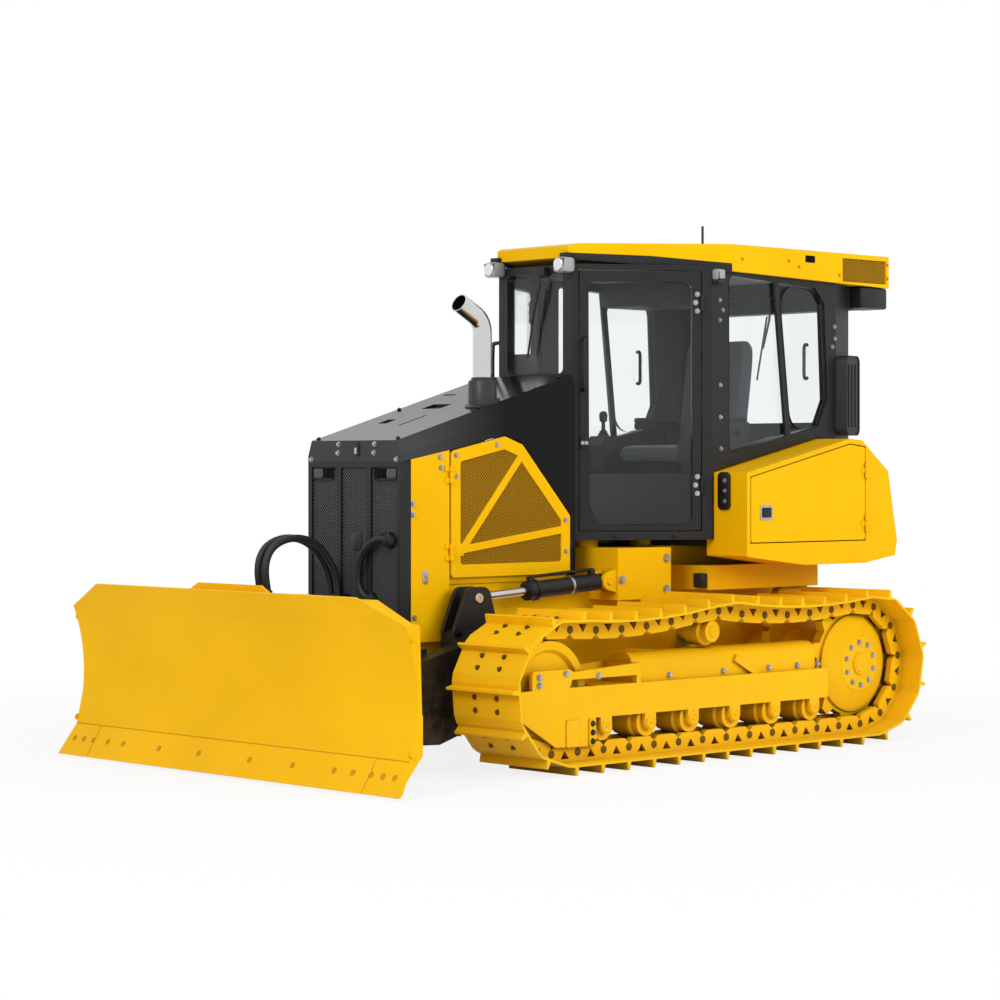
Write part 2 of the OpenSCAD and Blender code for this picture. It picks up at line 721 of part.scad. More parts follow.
// Cover over the engine: sloping top, sides down to the panels, grip and slots in the top
module hood() {
  color("#3c3c3c") difference() {
    hood_solid(0);
    hood_solid(panel_t);
    slab(-hood_y - 10, hood_y + 10) polygon(concat(
      panel_top, [[edoor_x0 - door_gap, 300], [hood_x1 + 50, 300], [hood_x1 + 50, grille_z1]]));
    // grip hole, the long slot beside it and two shallow recesses behind
    slab(-185, -115) polygon(hood_pocket(890, 970, 2*panel_t));
    slab(30, 46) polygon(hood_pocket(820, 1020, panel_t/2));
    slab(-150, 0) polygon(hood_pocket(600, 690, panel_t/2));
    slab(-275, -185) polygon(hood_pocket(395, 420, panel_t/2));
  }
}
// Side outline of a pocket of depth d in the cover's sloping top
function hood_pocket(x0, x1, d) =
  [[x0, hood_z(x0) - d], [x1, hood_z(x1) - d], [x1, hood_z(x1) + 20], [x0, hood_z(x0) + 20]];

module hood_solid(t) {
  hull() {
    slab(-hood_ty + t, hood_ty - t) polygon([
      [hood_x0 - t, edoor_z0 - t], [hood_x1 - t, edoor_z0 - t],
      [hood_x1 - t, hood_front_z - t], [hood_x0 - t, hood_rear_z - t]]);
    slab(-hood_y + t, hood_y - t) polygon([
      [hood_x0 - t, edoor_z0 - t], [hood_x1 - t, edoor_z0 - t],
      [hood_x1 - t, hood_front_z - hood_edge - t], [hood_x0 - t, hood_rear_z - hood_edge - t]]);
  }
}

// Radiator guard with three mesh fields, and the block on it that the blade's hoses leave from
module grille() {
  rim = 30;
  field_w = (hood_w - 2*rim - 2*grille_bar)/3;
  color("#2a2a2a") {
    difference() {
      box([hood_x1 - grille_t, -hood_y, grille_z0], [hood_x1, hood_y, grille_z1 - EPS]);
      for (i = [0:2]) {
        y = rim - hood_y + i*(field_w + grille_bar);
        box([hood_x1 - mesh_in, y, grille_z0 + rim], [hood_x1 + 10, y + field_w, grille_z1 - rim]);
      }
    }
    box([hood_x1 - mesh_in - 5, hose_y[0] - 45, hose_block_z - 90],
        [hose_block_x + hose_r + 8, hose_y[1] + 45, hose_block_z]);
  }
}

// Painted panels beside the radiator
module side_panels() {
  x0 = edoor_x1 + door_gap;
  x1 = hood_x1 - grille_t;
  color("gold") pair() {
    slab(hood_y - panel_t, hood_y)
      polygon([[x0, panel_z0], [x1, panel_z0], [x1, panel_z(x1)], [x0, panel_z(x0)]]);
    at_engine_hinges() hinge_post();
  }
}

// Places of the engine door's hinges, with the door to +X
engine_hinge_z = [edoor_z0 + 142, edoor_z1 - 127];
module at_engine_hinges() {
  for (z = engine_hinge_z) translate([edoor_x1, hood_y + hinge_r, z]) mirror([1, 0, 0]) children();
}

// Outline of the engine door on its side plane: rim and two spokes around mesh
edoor_corners = [[edoor_x1 - door_gap, edoor_z1 - 6], [edoor_peak_x, edoor_peak_z - 7],
                 [edoor_peak_x - 128, edoor_peak_z - 49], [edoor_x0, edoor_z0 + 320],
                 [edoor_x0, edoor_z0 + 8], [edoor_x1 - door_gap, edoor_z0 + 8]];
module engine_door() {
  spoke_w = edoor_rim*0.6;
  knot = [edoor_x1 - 85, edoor_z0 + 152];
  mid = hood_y - panel_t/2;
  slab(hood_y - panel_t, hood_y) {
    difference() {
      polygon(rounded(edoor_corners, 24));
      polygon(rounded(inset(edoor_corners, edoor_rim), 16));
    }
    polygon(bar(knot, [edoor_peak_x - 130, edoor_peak_z - 100], spoke_w));
    polygon(bar(knot, [edoor_x0 + edoor_rim - 10, edoor_z0 + 245], spoke_w));
    polygon(bar(knot - [10, 0], [edoor_x1 - edoor_rim + 10, knot[1]], spoke_w*1.6));
  }
  slab(mid - 3, mid + 3) polygon(inset(edoor_corners, edoor_rim/2));
  at_engine_hinges() hinge_leaf();
}

module engine_door_l() { color("gold") engine_door(); }
module engine_door_r() { color("gold") right() engine_door(); }

// Exhaust stack with its collar on the sloping cover and its curved mouth
module exhaust() {
  bend_r = 110;
  pipe_t = 5;
  sleeve_h = 130;
  color("silver") translate([stack_x, stack_y, hood_z(stack_x)]) {
    rotate([0, atan(hood_slope), 0]) cylinder(r = stack_r + 28, h = 45);
    translate([0, 0, 20]) cylinder(r = stack_r + 10, h = sleeve_h - 20);
    translate([0, 0, sleeve_h - 30]) difference() {
      cylinder(r = stack_r, h = stack_h - sleeve_h + 30);
      translate([0, 0, 60]) cylinder(r = stack_r - pipe_t, h = stack_h);
    }
    translate([bend_r, 0, stack_h]) rotate([90, 0, 180]) rotate_extrude(angle = 62)
      translate([bend_r, 0]) difference() {
        circle(r = stack_r);
        circle(r = stack_r - pipe_t);
      }
  }
}

// The cab's plan: narrow front, slanting doors, straight rear half with slanting corners
cab_plan = [[cab_x0, -cab_rear_w/2], [cab_x0 + cab_corner_l, -cab_w/2], [post_x, -cab_w/2],
            [cab_x1, -cab_front_w/2], [cab_x1, cab_front_w/2], [post_x, cab_w/2],
            [cab_x0 + cab_corner_l, cab_w/2], [cab_x0, cab_rear_w/2]];
door_v = [cab_x1 - post_x, cab_front_w/2 - cab_w/2];
door_l = norm(door_v);
door_a = atan2(door_v[1], door_v[0]);
// Local frame of the left door: x from the rear post to the front post, y outwards
module at_door() {
  translate([post_x, cab_w/2, 0]) rotate([0, 0, door_a]) children();
}
door_z0 = floor_z + 52;
door_z1 = cab_top_z - head_h + 9;
door_u0 = 62;
door_u1 = door_l - 42;
door_t = 44;
door_rim = 48;
door_pts = [[door_u0, door_z0], [door_u1, door_z0], [door_u1, door_z1], [door_u0, door_z1]];
pane_pts = rounded([[door_u0 + door_rim, door_z0 + 34], [door_u1 - 110, door_z0 + 34],
                    [door_u1 - 55, door_z0 + 140], [door_u1 - 50, door_z1 - 60],
                    [door_u0 + door_rim, door_z1 - 60]], 40);
win_top = cab_top_z - head_h;
side_x1 = post_x - 140;
side_x0 = cab_x0 + 257;
side_win = rounded([[side_x1, fender_front_z + 104], [side_x1 - 500, fender_peak_z + 22],
                    [side_x0 + 78, fender_peak_z + 72], [side_x0, fender_peak_z + 225],
                    [side_x0 + 28, win_top - 120], [side_x0 + 108, win_top - 40], [side_x1, win_top]], 30);
front_y = cab_front_w/2 - 70;
front_win = rounded([[-front_y, hood_rear_z + 10], [front_y, hood_rear_z + 10],
                     [front_y, win_top], [-front_y, win_top]], 30);
rear_y = cab_rear_w/2 - 125;
rear_win = rounded([[-rear_y, fender_peak_z + 100], [rear_y, fender_peak_z + 100],
                    [rear_y, win_top - 60], [-rear_y, win_top - 60]], 40);
// depth of the panes behind the cab's outer faces
pane_in = 30;

// Posts, walls and floor of the cab
module cab_frame() {
  riser_x = post_x - 25;
  under_z = deck_z - floor_t;
  back_x = cab_x0 - 10;
  rise = fender_peak_z + 8;
  color("#333333") {
    difference() {
      plan_slab(floor_z, cab_top_z - floor_z) polygon(cab_plan);
      difference() {
        plan_slab(floor_z + floor_t, cab_top_z) polygon(inset(cab_plan, wall_t));
        // platform under the seat, its riser and the inner sides beside the fenders
        box([cab_x0, -cab_w, under_z], [riser_x, cab_w, deck_z]);
        box([riser_x - floor_t, -cab_w, floor_z], [riser_x, cab_w, deck_z]);
        pair() box([cab_x0, fender_y0 - 45, under_z], [riser_x, cab_w, fender_peak_z + 15]);
      }
      // the tank lies below the platform and the fenders beside it
      slab(-cab_w, cab_w) polygon([[riser_x - floor_t, floor_z - 10], [riser_x - floor_t, under_z],
                                   [back_x, under_z], [back_x, floor_z - 10]]);
      pair() slab(fender_y0, cab_w) polygon([
        [riser_x + 10, floor_z - 10], [riser_x + 10, fender_top(riser_x + 10) + 8],
        [fender_peak_x, rise], [back_x, rise], [back_x, floor_z - 10]]);
      pair() at_door() slab(-wall_t - 80, 20) polygon(inset(door_pts, -door_gap));
      pair() slab(cab_w/2 - wall_t - 90, cab_w) polygon(side_win);
      front_slab(cab_x1 - wall_t - 20, cab_x1 + 20) polygon(front_win);
      front_slab(cab_x0 - 20, cab_x0 + wall_t + 20) polygon(rear_win);
    }
    pair() {
      at_cab_hinges() hinge_post();
      // bar between the panes of the side window
      slab(cab_w/2 - pane_in + glass_t, cab_w/2 - 4) polygon(
        bar([side_x1 - 400, win_top + 10], [side_x1 - 506, fender_peak_z - 10], bar_w));
    }
    // cowl between the engine cover and the cab
    slab(10 - cab_front_w/2, cab_front_w/2 - 10) polygon([
      [cab_x1 - 5, floor_z], [hood_x0, floor_z], [hood_x0, hood_rear_z - 20],
      [cab_x1 - 5, hood_rear_z - 20]]);
  }
}

// Fixed panes of the cab
module cab_glass() {
  front = cab_x1 - pane_in - 4;
  color([0.6, 0.7, 0.75, 0.4]) {
    front_slab(front, front + glass_t) polygon(front_win);
    front_slab(cab_x0 + 20, cab_x0 + 20 + glass_t) polygon(rear_win);
    pair() slab(cab_w/2 - pane_in, cab_w/2 - pane_in + glass_t) polygon(side_win);
  }
}

// Places of the cab door's hinges in the door's own frame
cab_hinge_z = [door_z0 + 248, door_z1 - 169];
module at_cab_hinges() {
  at_door() for (z = cab_hinge_z) translate([door_u0 - door_gap/2, hinge_r, z]) children();
}

module cab_door() {
  at_door() slab(-door_t, 0) difference() {
    polygon(door_pts);
    polygon(pane_pts);
  }
  at_cab_hinges() hinge_leaf();
}
module cab_door_l() { color("#2e2e2e") cab_door(); }
module cab_door_r() { color("#2e2e2e") right() cab_door(); }

module door_glass() {
  at_door() slab(4 - pane_in, 4 - pane_in + glass_t) polygon(pane_pts);
}
module door_glass_l() { color([0.6, 0.7, 0.75, 0.4]) door_glass(); }
module door_glass_r() { color([0.6, 0.7, 0.75, 0.4]) right() door_glass(); }

roof_y = cab_w/2 + roof_out;
// Roof with a narrow front, a deep rear edge and vents in its rear sides
module roof() {
  front_x = cab_x1 + 22;
  front_y = cab_front_w/2 - 12;
  vent = [[roof_x0 + 25, cab_top_z - 38], [roof_x0 + vent_l, cab_top_z - 38],
          [roof_x0 + vent_l, roof_z - 28], [roof_x0 + 25, roof_z - 28]];
  roof_plan = [[roof_x0, -roof_y], [roof_corner_x, -roof_y], [front_x, -front_y],
               [front_x, front_y], [roof_corner_x, roof_y], [roof_x0, roof_y]];
  color("gold") difference() {
    intersection() {
      plan_slab(cab_top_z - 150, roof_h + 200) polygon(roof_plan);
      slab(-cab_w, cab_w) polygon([
        [roof_x0, cab_top_z - 60], [roof_corner_x, cab_top_z - 25], [front_x + 8, cab_top_z + 35],
        [front_x + 8, roof_z - 30], [cab_x1 - 40, roof_z - 12], [roof_corner_x, roof_z],
        [roof_x0, roof_z]]);
    }
    plan_slab(cab_top_z - 300, 300) polygon(inset(cab_plan, -3));
    pair() slab(roof_y - 14, roof_y + 10) polygon(vent);
  }
}

// Lamps on the roof and the posts, and the aerial
module roof_fittings() {
  lamp_h = 72;
  lamp_y = cab_front_w/2 - 55;
  color("#404040") {
    pair() {
      slab(lamp_y, lamp_y + 80) polygon(rounded(
        [[cab_x1, win_top], [cab_x1 + 84, win_top], [cab_x1 + 90, win_top + lamp_h],
         [cab_x1, win_top + lamp_h]], 9));
      slab(cab_w/2, cab_w/2 + 48) polygon(rounded(
        [[post_x - 60, win_top - 55], [post_x - 5, win_top - 55], [post_x - 5, win_top + 15],
         [post_x - 60, win_top + 15]], 9));
    }
    translate([roof_corner_x - 234, cab_w/4 - 50, roof_z]) {
      cylinder(r1 = 20, r2 = 12, h = 22);
      cylinder(r = 7, h = aerial_h);
    }
  }
}

// Cooling unit under the roof's rear overhang, and the filter case on the rear corner
corner_a = atan2((cab_w - cab_rear_w)/2, cab_corner_l);
module air_unit() {
  unit_z = cab_top_z - 61;
  unit_y = cab_rear_w/2 - 5;
  color("#2f2f2f") {
    slab(-unit_y, unit_y) polygon([
      [roof_x0 + 5, unit_z], [roof_x0 + 5, unit_z - unit_h + 20], [roof_x0 + 25, unit_z - unit_h],
      [cab_x0, unit_z - unit_h - 8], [cab_x0, unit_z]]);
    translate([cab_x0 + cab_corner_l/2, (cab_w + cab_rear_w)/4, 0]) rotate([0, 0, corner_a])
      slab(0, 62) polygon(rounded([[-94, fender_peak_z + 24], [94, fender_peak_z + 24],
                                      [94, fender_peak_z + 478], [-94, fender_peak_z + 478]], 38));
  }
}

seat_x = -1430;
// Seat pedestal with its arm rests
module seat_base() {
  arm_z = deck_z + 300;
  color("#2b2b2b") {
    slab(-150, 150) polygon([[seat_x + 110, deck_z], [seat_x + 430, deck_z], [seat_x + 470, deck_z + 60],
                             [seat_x + 70, deck_z + 60]]);
    pair() slab(seat_w/2 + 8, seat_w/2 + 38) polygon(rounded(
      [[seat_x - 30, deck_z + 40], [seat_x + 40, deck_z + 40], [seat_x + 50, arm_z - 50],
       [seat_x + 330, arm_z - 40], [seat_x + 330, arm_z], [seat_x - 30, arm_z]], 12));
    pair() box([seat_x, 130, deck_z + 40], [seat_x + 130, seat_w/2 + 10, deck_z + 59]);
  }
}

// Seat cushion and backrest
module seat() {
  cushion_z = deck_z + 60;
  color("#303030") slab(-seat_w/2, seat_w/2) {
    polygon(rounded([[seat_x + 10, cushion_z], [seat_x + 520, cushion_z], [seat_x + 540, cushion_z + 110],
                     [seat_x + 10, cushion_z + 115]], 20));
    polygon(rounded([[seat_x - 110, cushion_z + 60], [seat_x + 14, cushion_z + 30],
                     [seat_x + 14, cushion_z + 130], [seat_x - 70, cushion_z + 720],
                     [seat_x - 170, cushion_z + 720]], 30));
  }
}

// Control consoles beside the seat with their joysticks
module consoles() {
  y0 = seat_w/2 + 60;
  y1 = y0 + 130;
  top = deck_z + 220;
  color("#252525") pair() {
    slab(y0, y1) polygon(rounded([
      [seat_x - 20, deck_z], [seat_x + 560, deck_z], [seat_x + 600, top - 60], [seat_x + 540, top],
      [seat_x - 20, top - 30]], 14));
    translate([seat_x + 500, (y0 + y1)/2, top - 4]) rotate_extrude() polygon([
      [0, 0], [34, 0], [16, 30], [11, 34], [11, 84], [22, 92], [25, 128], [16, 146], [0, 150]]);
  }
}

// Fuel tank across the machine below the cab's platform
module fuel_tank() {
  color("#2d2d2d") box([cab_x0 + 20, -fender_y0, floor_z - mount_h],
                       [post_x - 70, fender_y0, deck_z - floor_t]);
}

fender_front = [fender_x1, fender_front_z];
fender_peak = [fender_peak_x, fender_peak_z];
function fender_top(x) = fender_front_z
  + (x - fender_x1)*(fender_peak_z - fender_front_z)/(fender_peak_x - fender_x1);
fender_side = [[fender_x1, fender_z0 + 55], fender_front, fender_peak,
               [fender_peak_x - 108, fender_peak_z - 10], [fender_x0 + 82, fender_front_z + 8],
               [fender_x0, fender_z0 + 124], [fender_x0 + 19, fender_z0 + 38],
               [fender_x0 + 289, fender_z0], [fender_x1 - 483, fender_z0]];
fender_plan = [[fender_x1, fender_y0], [fender_x1, fender_y1], [fender_slant_x, fender_y1],
               [fender_x0, fender_y1 - 170], [fender_x0, fender_y0]];
locker_corners = [
  [fender_x1 - locker_rim, fender_z0 + 132],
  [fender_x1 - locker_rim, fender_top(fender_x1 - locker_rim) - locker_rim],
  [fender_peak_x, fender_peak_z - locker_rim], [locker_x0, fender_peak_z - locker_rim - 14],
  [locker_x0, fender_z0 + 132]];
locker_hinge_z = [fender_z0 + 225, fender_peak_z - 180];
// Places of a locker door's hinges, with the door to +X
module at_locker_hinges() {
  for (z = locker_hinge_z) translate([locker_x0 - door_gap/2, fender_y1 + hinge_r, z]) children();
}

// Hollow locker over one track, open towards its door
module fender() {
  difference() {
    intersection() {
      slab(fender_y0, fender_y1) polygon(rounded(fender_side, 12));
      plan_slab(0, cab_top_z) polygon(fender_plan);
    }
    intersection() {
      slab(fender_y0 + fender_t, fender_y1 - fender_t) polygon(inset(fender_side, fender_t));
      plan_slab(0, cab_top_z) polygon(inset(fender_plan, fender_t));
    }
    slab(fender_y1 - 2*fender_t, fender_y1 + 10) polygon(inset(locker_corners, -door_gap));
  }
  at_locker_hinges() hinge_post();
}
module fenders() {
  color("gold") pair() fender();
}

module locker_door() {
  slab(fender_y1 - fender_t, fender_y1) polygon(rounded(locker_corners, 16));
  at_locker_hinges() hinge_leaf();
}
module locker_door_l() { color("gold") locker_door(); }
module locker_door_r() { color("gold") right() locker_door(); }

arm_x0 = lift_x - 105;
beam_in = beam_x - 85;
beam_out = beam_x + 90;
lever_z = 700;
nose_x = swivel_x + 90;
// Push frame: two arms with levers, joined by a cross beam whose nose holds the swivel's ears
module push_frame() {
  arm_side = [[arm_x0, lift_z - 90], [1040, 200], [1240, 140], [beam_x - 120, 150], [beam_x + 100, 190],
              [beam_x + 100, 480], [beam_x - 120, 540], [1250, lever_z - 110], [1060, lever_z - 60],
              [1000, lever_z], [lift_x - 90, lever_z], [arm_x0, lift_z + 60]];
  ear_gap = hub_h + 10;
  color("#2b2b2b") difference() {
    union() {
      intersection() {
        plan_slab(0, 1000) push_plan();
        slab(-arm_y1 - 5, arm_y1 + 5) polygon(arm_side);
      }
      intersection() {
        plan_slab(0, 1000) nose_plan();
        slab(-arm_y1, arm_y1) polygon([
          [beam_in - 15, 150], [nose_x, 200], [nose_x, 470], [beam_in - 15, 530]]);
      }
      // block that the hoses run into
      box([hose_end_x - 40, hose_y[0] - 35, hose_end_z - 80],
          [hose_end_x + 40, hose_y[1] + 50, hose_end_z]);
      pair() {
        box([lift_x - 85, lift_cyl_y - 50 - cheek_t, lever_z - 100], [1050, arm_y0 + 5, lever_z]);
        // lever cheeks beside the lift rod's eye
        for (s = [-1, 1]) {
          y = lift_cyl_y + s*(eye_w/2 + eye_gap + cheek_t/2);
          slab(y - cheek_t/2, y + cheek_t/2) polygon(concat(
            [[1075, lever_z - 10]], arc([lift_eye_x + 40, lift_eye_z], eye_r + 18, 20, 90, 6),
            arc([lift_eye_x - 30, lift_eye_z], eye_r + 18, 90, 180, 6), [[lift_x - 60, lever_z - 10]]));
        }
        // stand, pin and washer of the angle barrel
        stand_z = angle_z - eye_w/2 - eye_gap;
        box([angle_base_x - 60, arm_y0 - 95, 480], [angle_base_x + 30, arm_y0 + 5, stand_z]);
        translate([angle_base_x, angle_base_y, stand_z - 20]) {
          cylinder(r = cyl_pin_r, h = eye_w + 2*eye_gap + 30);
          translate([0, 0, eye_w + 2*eye_gap + 20]) cylinder(r = cyl_pin_r + 10, h = 14);
        }
      }
    }
    pair() rod_y(lift_x, lift_z, lift_pin_r + pin_gap, 300, arm_y1 + 100);
    // gap between the ears for the swivel's hub, and the bore of its king pin
    translate([swivel_x, 0, tilt_z - ear_gap/2]) {
      cylinder(r = 110, h = ear_gap);
      translate([0, -120, 0]) cube([300, 240, ear_gap]);
    }
    translate([swivel_x, 0, 0]) cylinder(r = swivel_r + pin_gap, h = lever_z);
  }
}
module push_plan() {
  polygon([[arm_x0, arm_y0], [beam_in - 85, arm_y0], [beam_in, 420], [beam_in, -420],
           [beam_in - 85, -arm_y0], [arm_x0, -arm_y0], [arm_x0, -arm_y1], [beam_in - 15, -arm_y1],
           [beam_out, -540],
           [beam_out, 540], [beam_in - 15, arm_y1], [arm_x0, arm_y1]]);
}
module nose_plan() {
  polygon(concat([[beam_in + 5, -500], [beam_out, -530]], arc([swivel_x, 0], 80, -70, 70),
                 [[beam_out, 530], [beam_in + 5, 500]]));
}

// Swivel between push frame and blade: king pin, trunnion and a yoke for the cylinders
module swivel() {
  yoke_z = eye_w/2 + eye_gap;
  king_z0 = tilt_z - hub_h;
  color("#3a3a3a") union() {
    translate([swivel_x, 0, tilt_z - hub_h/2]) cylinder(r = swivel_r + 40, h = hub_h);
    translate([swivel_x, 0, king_z0]) cylinder(r = swivel_r, h = angle_z - 30 - king_z0);
    rod_x(swivel_x, 0, tilt_z, trunnion_r, trunnion_l);
    for (z = [angle_z - yoke_z - cheek_t, angle_z + yoke_z]) plan_slab(z, cheek_t)
      polygon(concat(
        arc([angle_eye_x, angle_eye_y], eye_r + 5, 0, 120, 6), [[swivel_x - 60, 90], [swivel_x - 60, -90]],
        arc([angle_eye_x, -angle_eye_y], eye_r + 5, 240, 360, 6)));
    translate([swivel_x, 0, angle_z - 100]) cylinder(r = swivel_r + 25, h = 150);
    // post and pin of the tilt barrel
    post_w = eye_r + 5;
    for (s = [-1, 1]) {
      x = tilt_cyl_x + s*(yoke_z + cheek_t/2);
      front_slab(x - cheek_t/2, x + cheek_t/2) polygon(concat(
        [[tilt_base_y + post_w, angle_z + yoke_z - 1]], arc([tilt_base_y, tilt_cyl_z], post_w, 0, 180, 8),
        [[tilt_base_y - 70, angle_z + yoke_z - 1]]));
    }
    pin_l = 2*(yoke_z + cheek_t + 6);
    rod_x(tilt_cyl_x - pin_l/2, tilt_base_y, tilt_cyl_z, cyl_pin_r, pin_l);
  }
}
trunnion_l = 122;

// Section of the moldboard: curved plate with stiff boxes behind its top and bottom
curve_top = [tip_x - top_back, blade_top_z];
curve_mid = [tip_x - curve_back, curve_z];
curve_low = [tip_x - seam_back, seam_z];
blade_c = circ_c(curve_top, curve_mid, curve_low);
blade_r = norm(curve_top - blade_c);
back_x = tip_x - blade_back;
// The cutting edge lies along the line from the seam to the tip and rests on the blade's lower box
edge_tip = [tip_x, tip_z];
edge_dir = unit(edge_tip - curve_low);
edge_l = norm(edge_tip - curve_low);
edge_top_back = curve_low - left(edge_dir)*edge_t*(left(edge_dir)[0] > 0 ? 1 : -1);
edge_seat = edge_top_back + edge_dir*edge_l*0.5;
blade_face = [[edge_w/2, tip_z - 5], [blade_w/2, seam_z], [blade_w/2, blade_corner_z],
              [blade_top_w/2, blade_top_z + 5]];
module blade_trim() {
  front_slab(back_x - 200, tip_x + 50) polygon(concat(
    blade_face, [for (i = [3:-1:0]) [-blade_face[i][0], blade_face[i][1]]]));
}

module blade() {
  behind = blade_r + 5;
  box_h = 190;
  skin = concat(arc3(curve_top, curve_mid, curve_low, 24),
                [for (p = arc3(curve_low, curve_mid, curve_top, 24))
                  blade_c + unit(p - blade_c)*(blade_r + skin_t)]);
  top_box = [curve_top - [8, 10], [back_x + 50, blade_top_z - 10], [back_x + 40, blade_top_z - box_h],
             blade_c + behind*unit([curve_mid[0] + 45, blade_top_z - box_h] - blade_c)];
  low_box = [curve_low, edge_top_back, edge_seat, [back_x, seam_z + 20], [back_x, seam_z + box_h + 20],
             blade_c + behind*unit([curve_mid[0] + 3, seam_z + box_h + 20] - blade_c)];
  rib = concat(arc3(curve_top - [4, 0], curve_mid - [4, 0], curve_low - [4, 0], 16),
               [[back_x, seam_z + 60], [back_x + 20, blade_top_z - 80]]);
  color("gold") difference() {
    union() {
      intersection() {
        union() {
          slab(-edge_w/2, edge_w/2) {
            polygon(skin);
            polygon(top_box);
            polygon(low_box);
          }
          // end plates and ribs
          pair() for (y = [rib_y - rib_t, blade_w/2 - rib_t]) slab(y, y + rib_t) polygon(rib);
        }
        blade_trim();
      }
      // hub of the tilt trunnion
      rod_x(back_x - 12, 0, tilt_z, trunnion_r + 68, 36);
      // bracket of the tilt rod
      for (s = [-1, 1]) {
        x = tilt_cyl_x + s*(eye_w/2 + eye_gap + cheek_t/2);
        front_slab(x - cheek_t/2, x + cheek_t/2) polygon(rounded([
          [tilt_eye_y - 60, tilt_cyl_z - 60], [tilt_eye_y + 60, tilt_cyl_z - 60],
          [tilt_eye_y + 60, tilt_cyl_z + 60], [tilt_eye_y - 60, tilt_cyl_z + 60]], 20));
      }
      bracket_x = tilt_cyl_x - eye_w/2 - eye_gap - cheek_t;
      box([bracket_x, tilt_eye_y + 52, tilt_cyl_z - 50], [back_x + 60, tilt_eye_y + 110, tilt_cyl_z + 50]);
      // guard that stands over the tilt cylinder
      front_slab(back_x + 50, back_x + 64) translate([-47, 0]) polygon([
        [-guard_w/2, blade_top_z - 60], [guard_w/2, blade_top_z - 60], [guard_w/2, blade_top_z],
        [guard_w/2 - 60, blade_top_z + guard_h], [-guard_w/2 + 60, blade_top_z + guard_h],
        [-guard_w/2, blade_top_z]]);
    }
    rod_x(back_x - 100, 0, tilt_z, trunnion_r + pin_gap, trunnion_l);
  }
}

// Cutting edge: a middle piece and two end bits
module cutting_edge() {
  bit_y = edge_w/2 - end_bit_l;
  section = [curve_low, edge_tip, edge_tip - [14, 0], edge_top_back + edge_dir*edge_l*0.86, edge_top_back];
  color("gold") intersection() {
    union() {
      slab(bit_gap - bit_y, bit_y - bit_gap) polygon(section);
      pair() slab(bit_y, edge_w/2) polygon(section);
    }
    blade_trim();
  }
}

// Cylinder barrel along X from its pin at the origin
module barrel(r, l, rod_r) {
  head_l = 50;
  bore_x = neck_l + 6;
  difference() {
    union() {
      rod_x(0, 0, 0, eye_w/2, neck_l + 1);
      rod_x(neck_l, 0, 0, r, l - neck_l);
      rod_x(l - head_l, 0, 0, r + 6, head_l);
      rotate([90, 0, 0]) cylinder(r = eye_r, h = eye_w, center = true);
    }
    rotate([90, 0, 0]) cylinder(r = cyl_pin_r + pin_gap, h = 2*eye_w, center = true);
    rod_x(bore_x, 0, 0, rod_r + 0.06, l);
    rod_x(bore_x, 0, 0, r - 9, l - head_l - bore_x);
  }
}

// Piston rod along X that ends in its eye at the origin
module piston_rod(r, l, piston_r) {
  rod_x(-l, 0, 0, r, l - 10);
  rod_x(-l, 0, 0, piston_r, 24);
  rotate([90, 0, 0]) cylinder(r = eye_r - 2, h = eye_w, center = true);
}

lift_len = norm([lift_eye_x - lift_base_x, lift_eye_z - lift_base_z]);
lift_dir = atan2(lift_eye_z - lift_base_z, lift_eye_x - lift_base_x);
module lift_barrel() {
  translate([lift_base_x, lift_cyl_y, lift_base_z]) rotate([0, -lift_dir, 0])
    barrel(lift_barrel_r, lift_barrel_l, lift_rod_r);
}
module lift_rod() {
  translate([lift_eye_x, lift_cyl_y, lift_eye_z]) rotate([0, -lift_dir, 0])
    piston_rod(lift_rod_r, lift_len - 320, lift_barrel_r - 10);
}
module lift_barrel_l() { color("#222222") lift_barrel(); }
module lift_barrel_r() { color("#222222") right() lift_barrel(); }
module lift_rod_l() { color("silver") lift_rod(); }
module lift_rod_r() { color("silver") right() lift_rod(); }

angle_len = norm([angle_eye_x - angle_base_x, angle_eye_y - angle_base_y]);
angle_dir = atan2(angle_eye_y - angle_base_y, angle_eye_x - angle_base_x);
module angle_barrel() {
  translate([angle_base_x, angle_base_y, angle_z]) rotate([0, 0, angle_dir]) rotate([90, 0, 0])
    barrel(angle_barrel_r, angle_barrel_l, angle_rod_r);
}
module angle_rod() {
  translate([angle_eye_x, angle_eye_y, angle_z]) rotate([0, 0, angle_dir]) rotate([90, 0, 0])
    piston_rod(angle_rod_r, angle_len - 220, angle_barrel_r - 10);
}
module angle_barrel_l() { color("#222222") angle_barrel(); }
module angle_barrel_r() { color("#222222") right() angle_barrel(); }
module angle_rod_l() { color("silver") angle_rod(); }
module angle_rod_r() { color("silver") right() angle_rod(); }

tilt_len = tilt_eye_y - tilt_base_y;
module tilt_barrel() {
  color("#222222") translate([tilt_cyl_x, tilt_base_y, tilt_cyl_z]) rotate([0, 0, 90])
    barrel(tilt_barrel_r, tilt_barrel_l, tilt_rod_r);
}
module tilt_rod() {
  color("silver") translate([tilt_cyl_x, tilt_eye_y, tilt_cyl_z]) rotate([0, 0, 90])
    piston_rod(tilt_rod_r, tilt_len - 200, tilt_barrel_r - 10);
}

// Hoses: they rise from the push frame, arch over and run down to the block on the grille
hose_y = [-145, -85];
hose_end_x = 1740;
hose_end_z = 560;
hose_block_x = 1325;
hose_block_z = 880;
hose_line = [
  [1740, 0, 560], [1740, 0, 640], [1748, 0, 720], [1762, 0, 800], [1782, 0, 880], [1800, 0, 950],
  [1812, 0, 1010], [1806, 0, 1075], [1775, 0, 1125], [1725, 0, 1158], [1660, -3, 1176],
  [1590, -8, 1180], [1520, -12, 1172], [1455, -14, 1148], [1402, -13, 1105], [1362, -9, 1045],
  [1335, -4, 985], [1325, 0, 940], [1325, 0, 880]];
hose_n = 10;
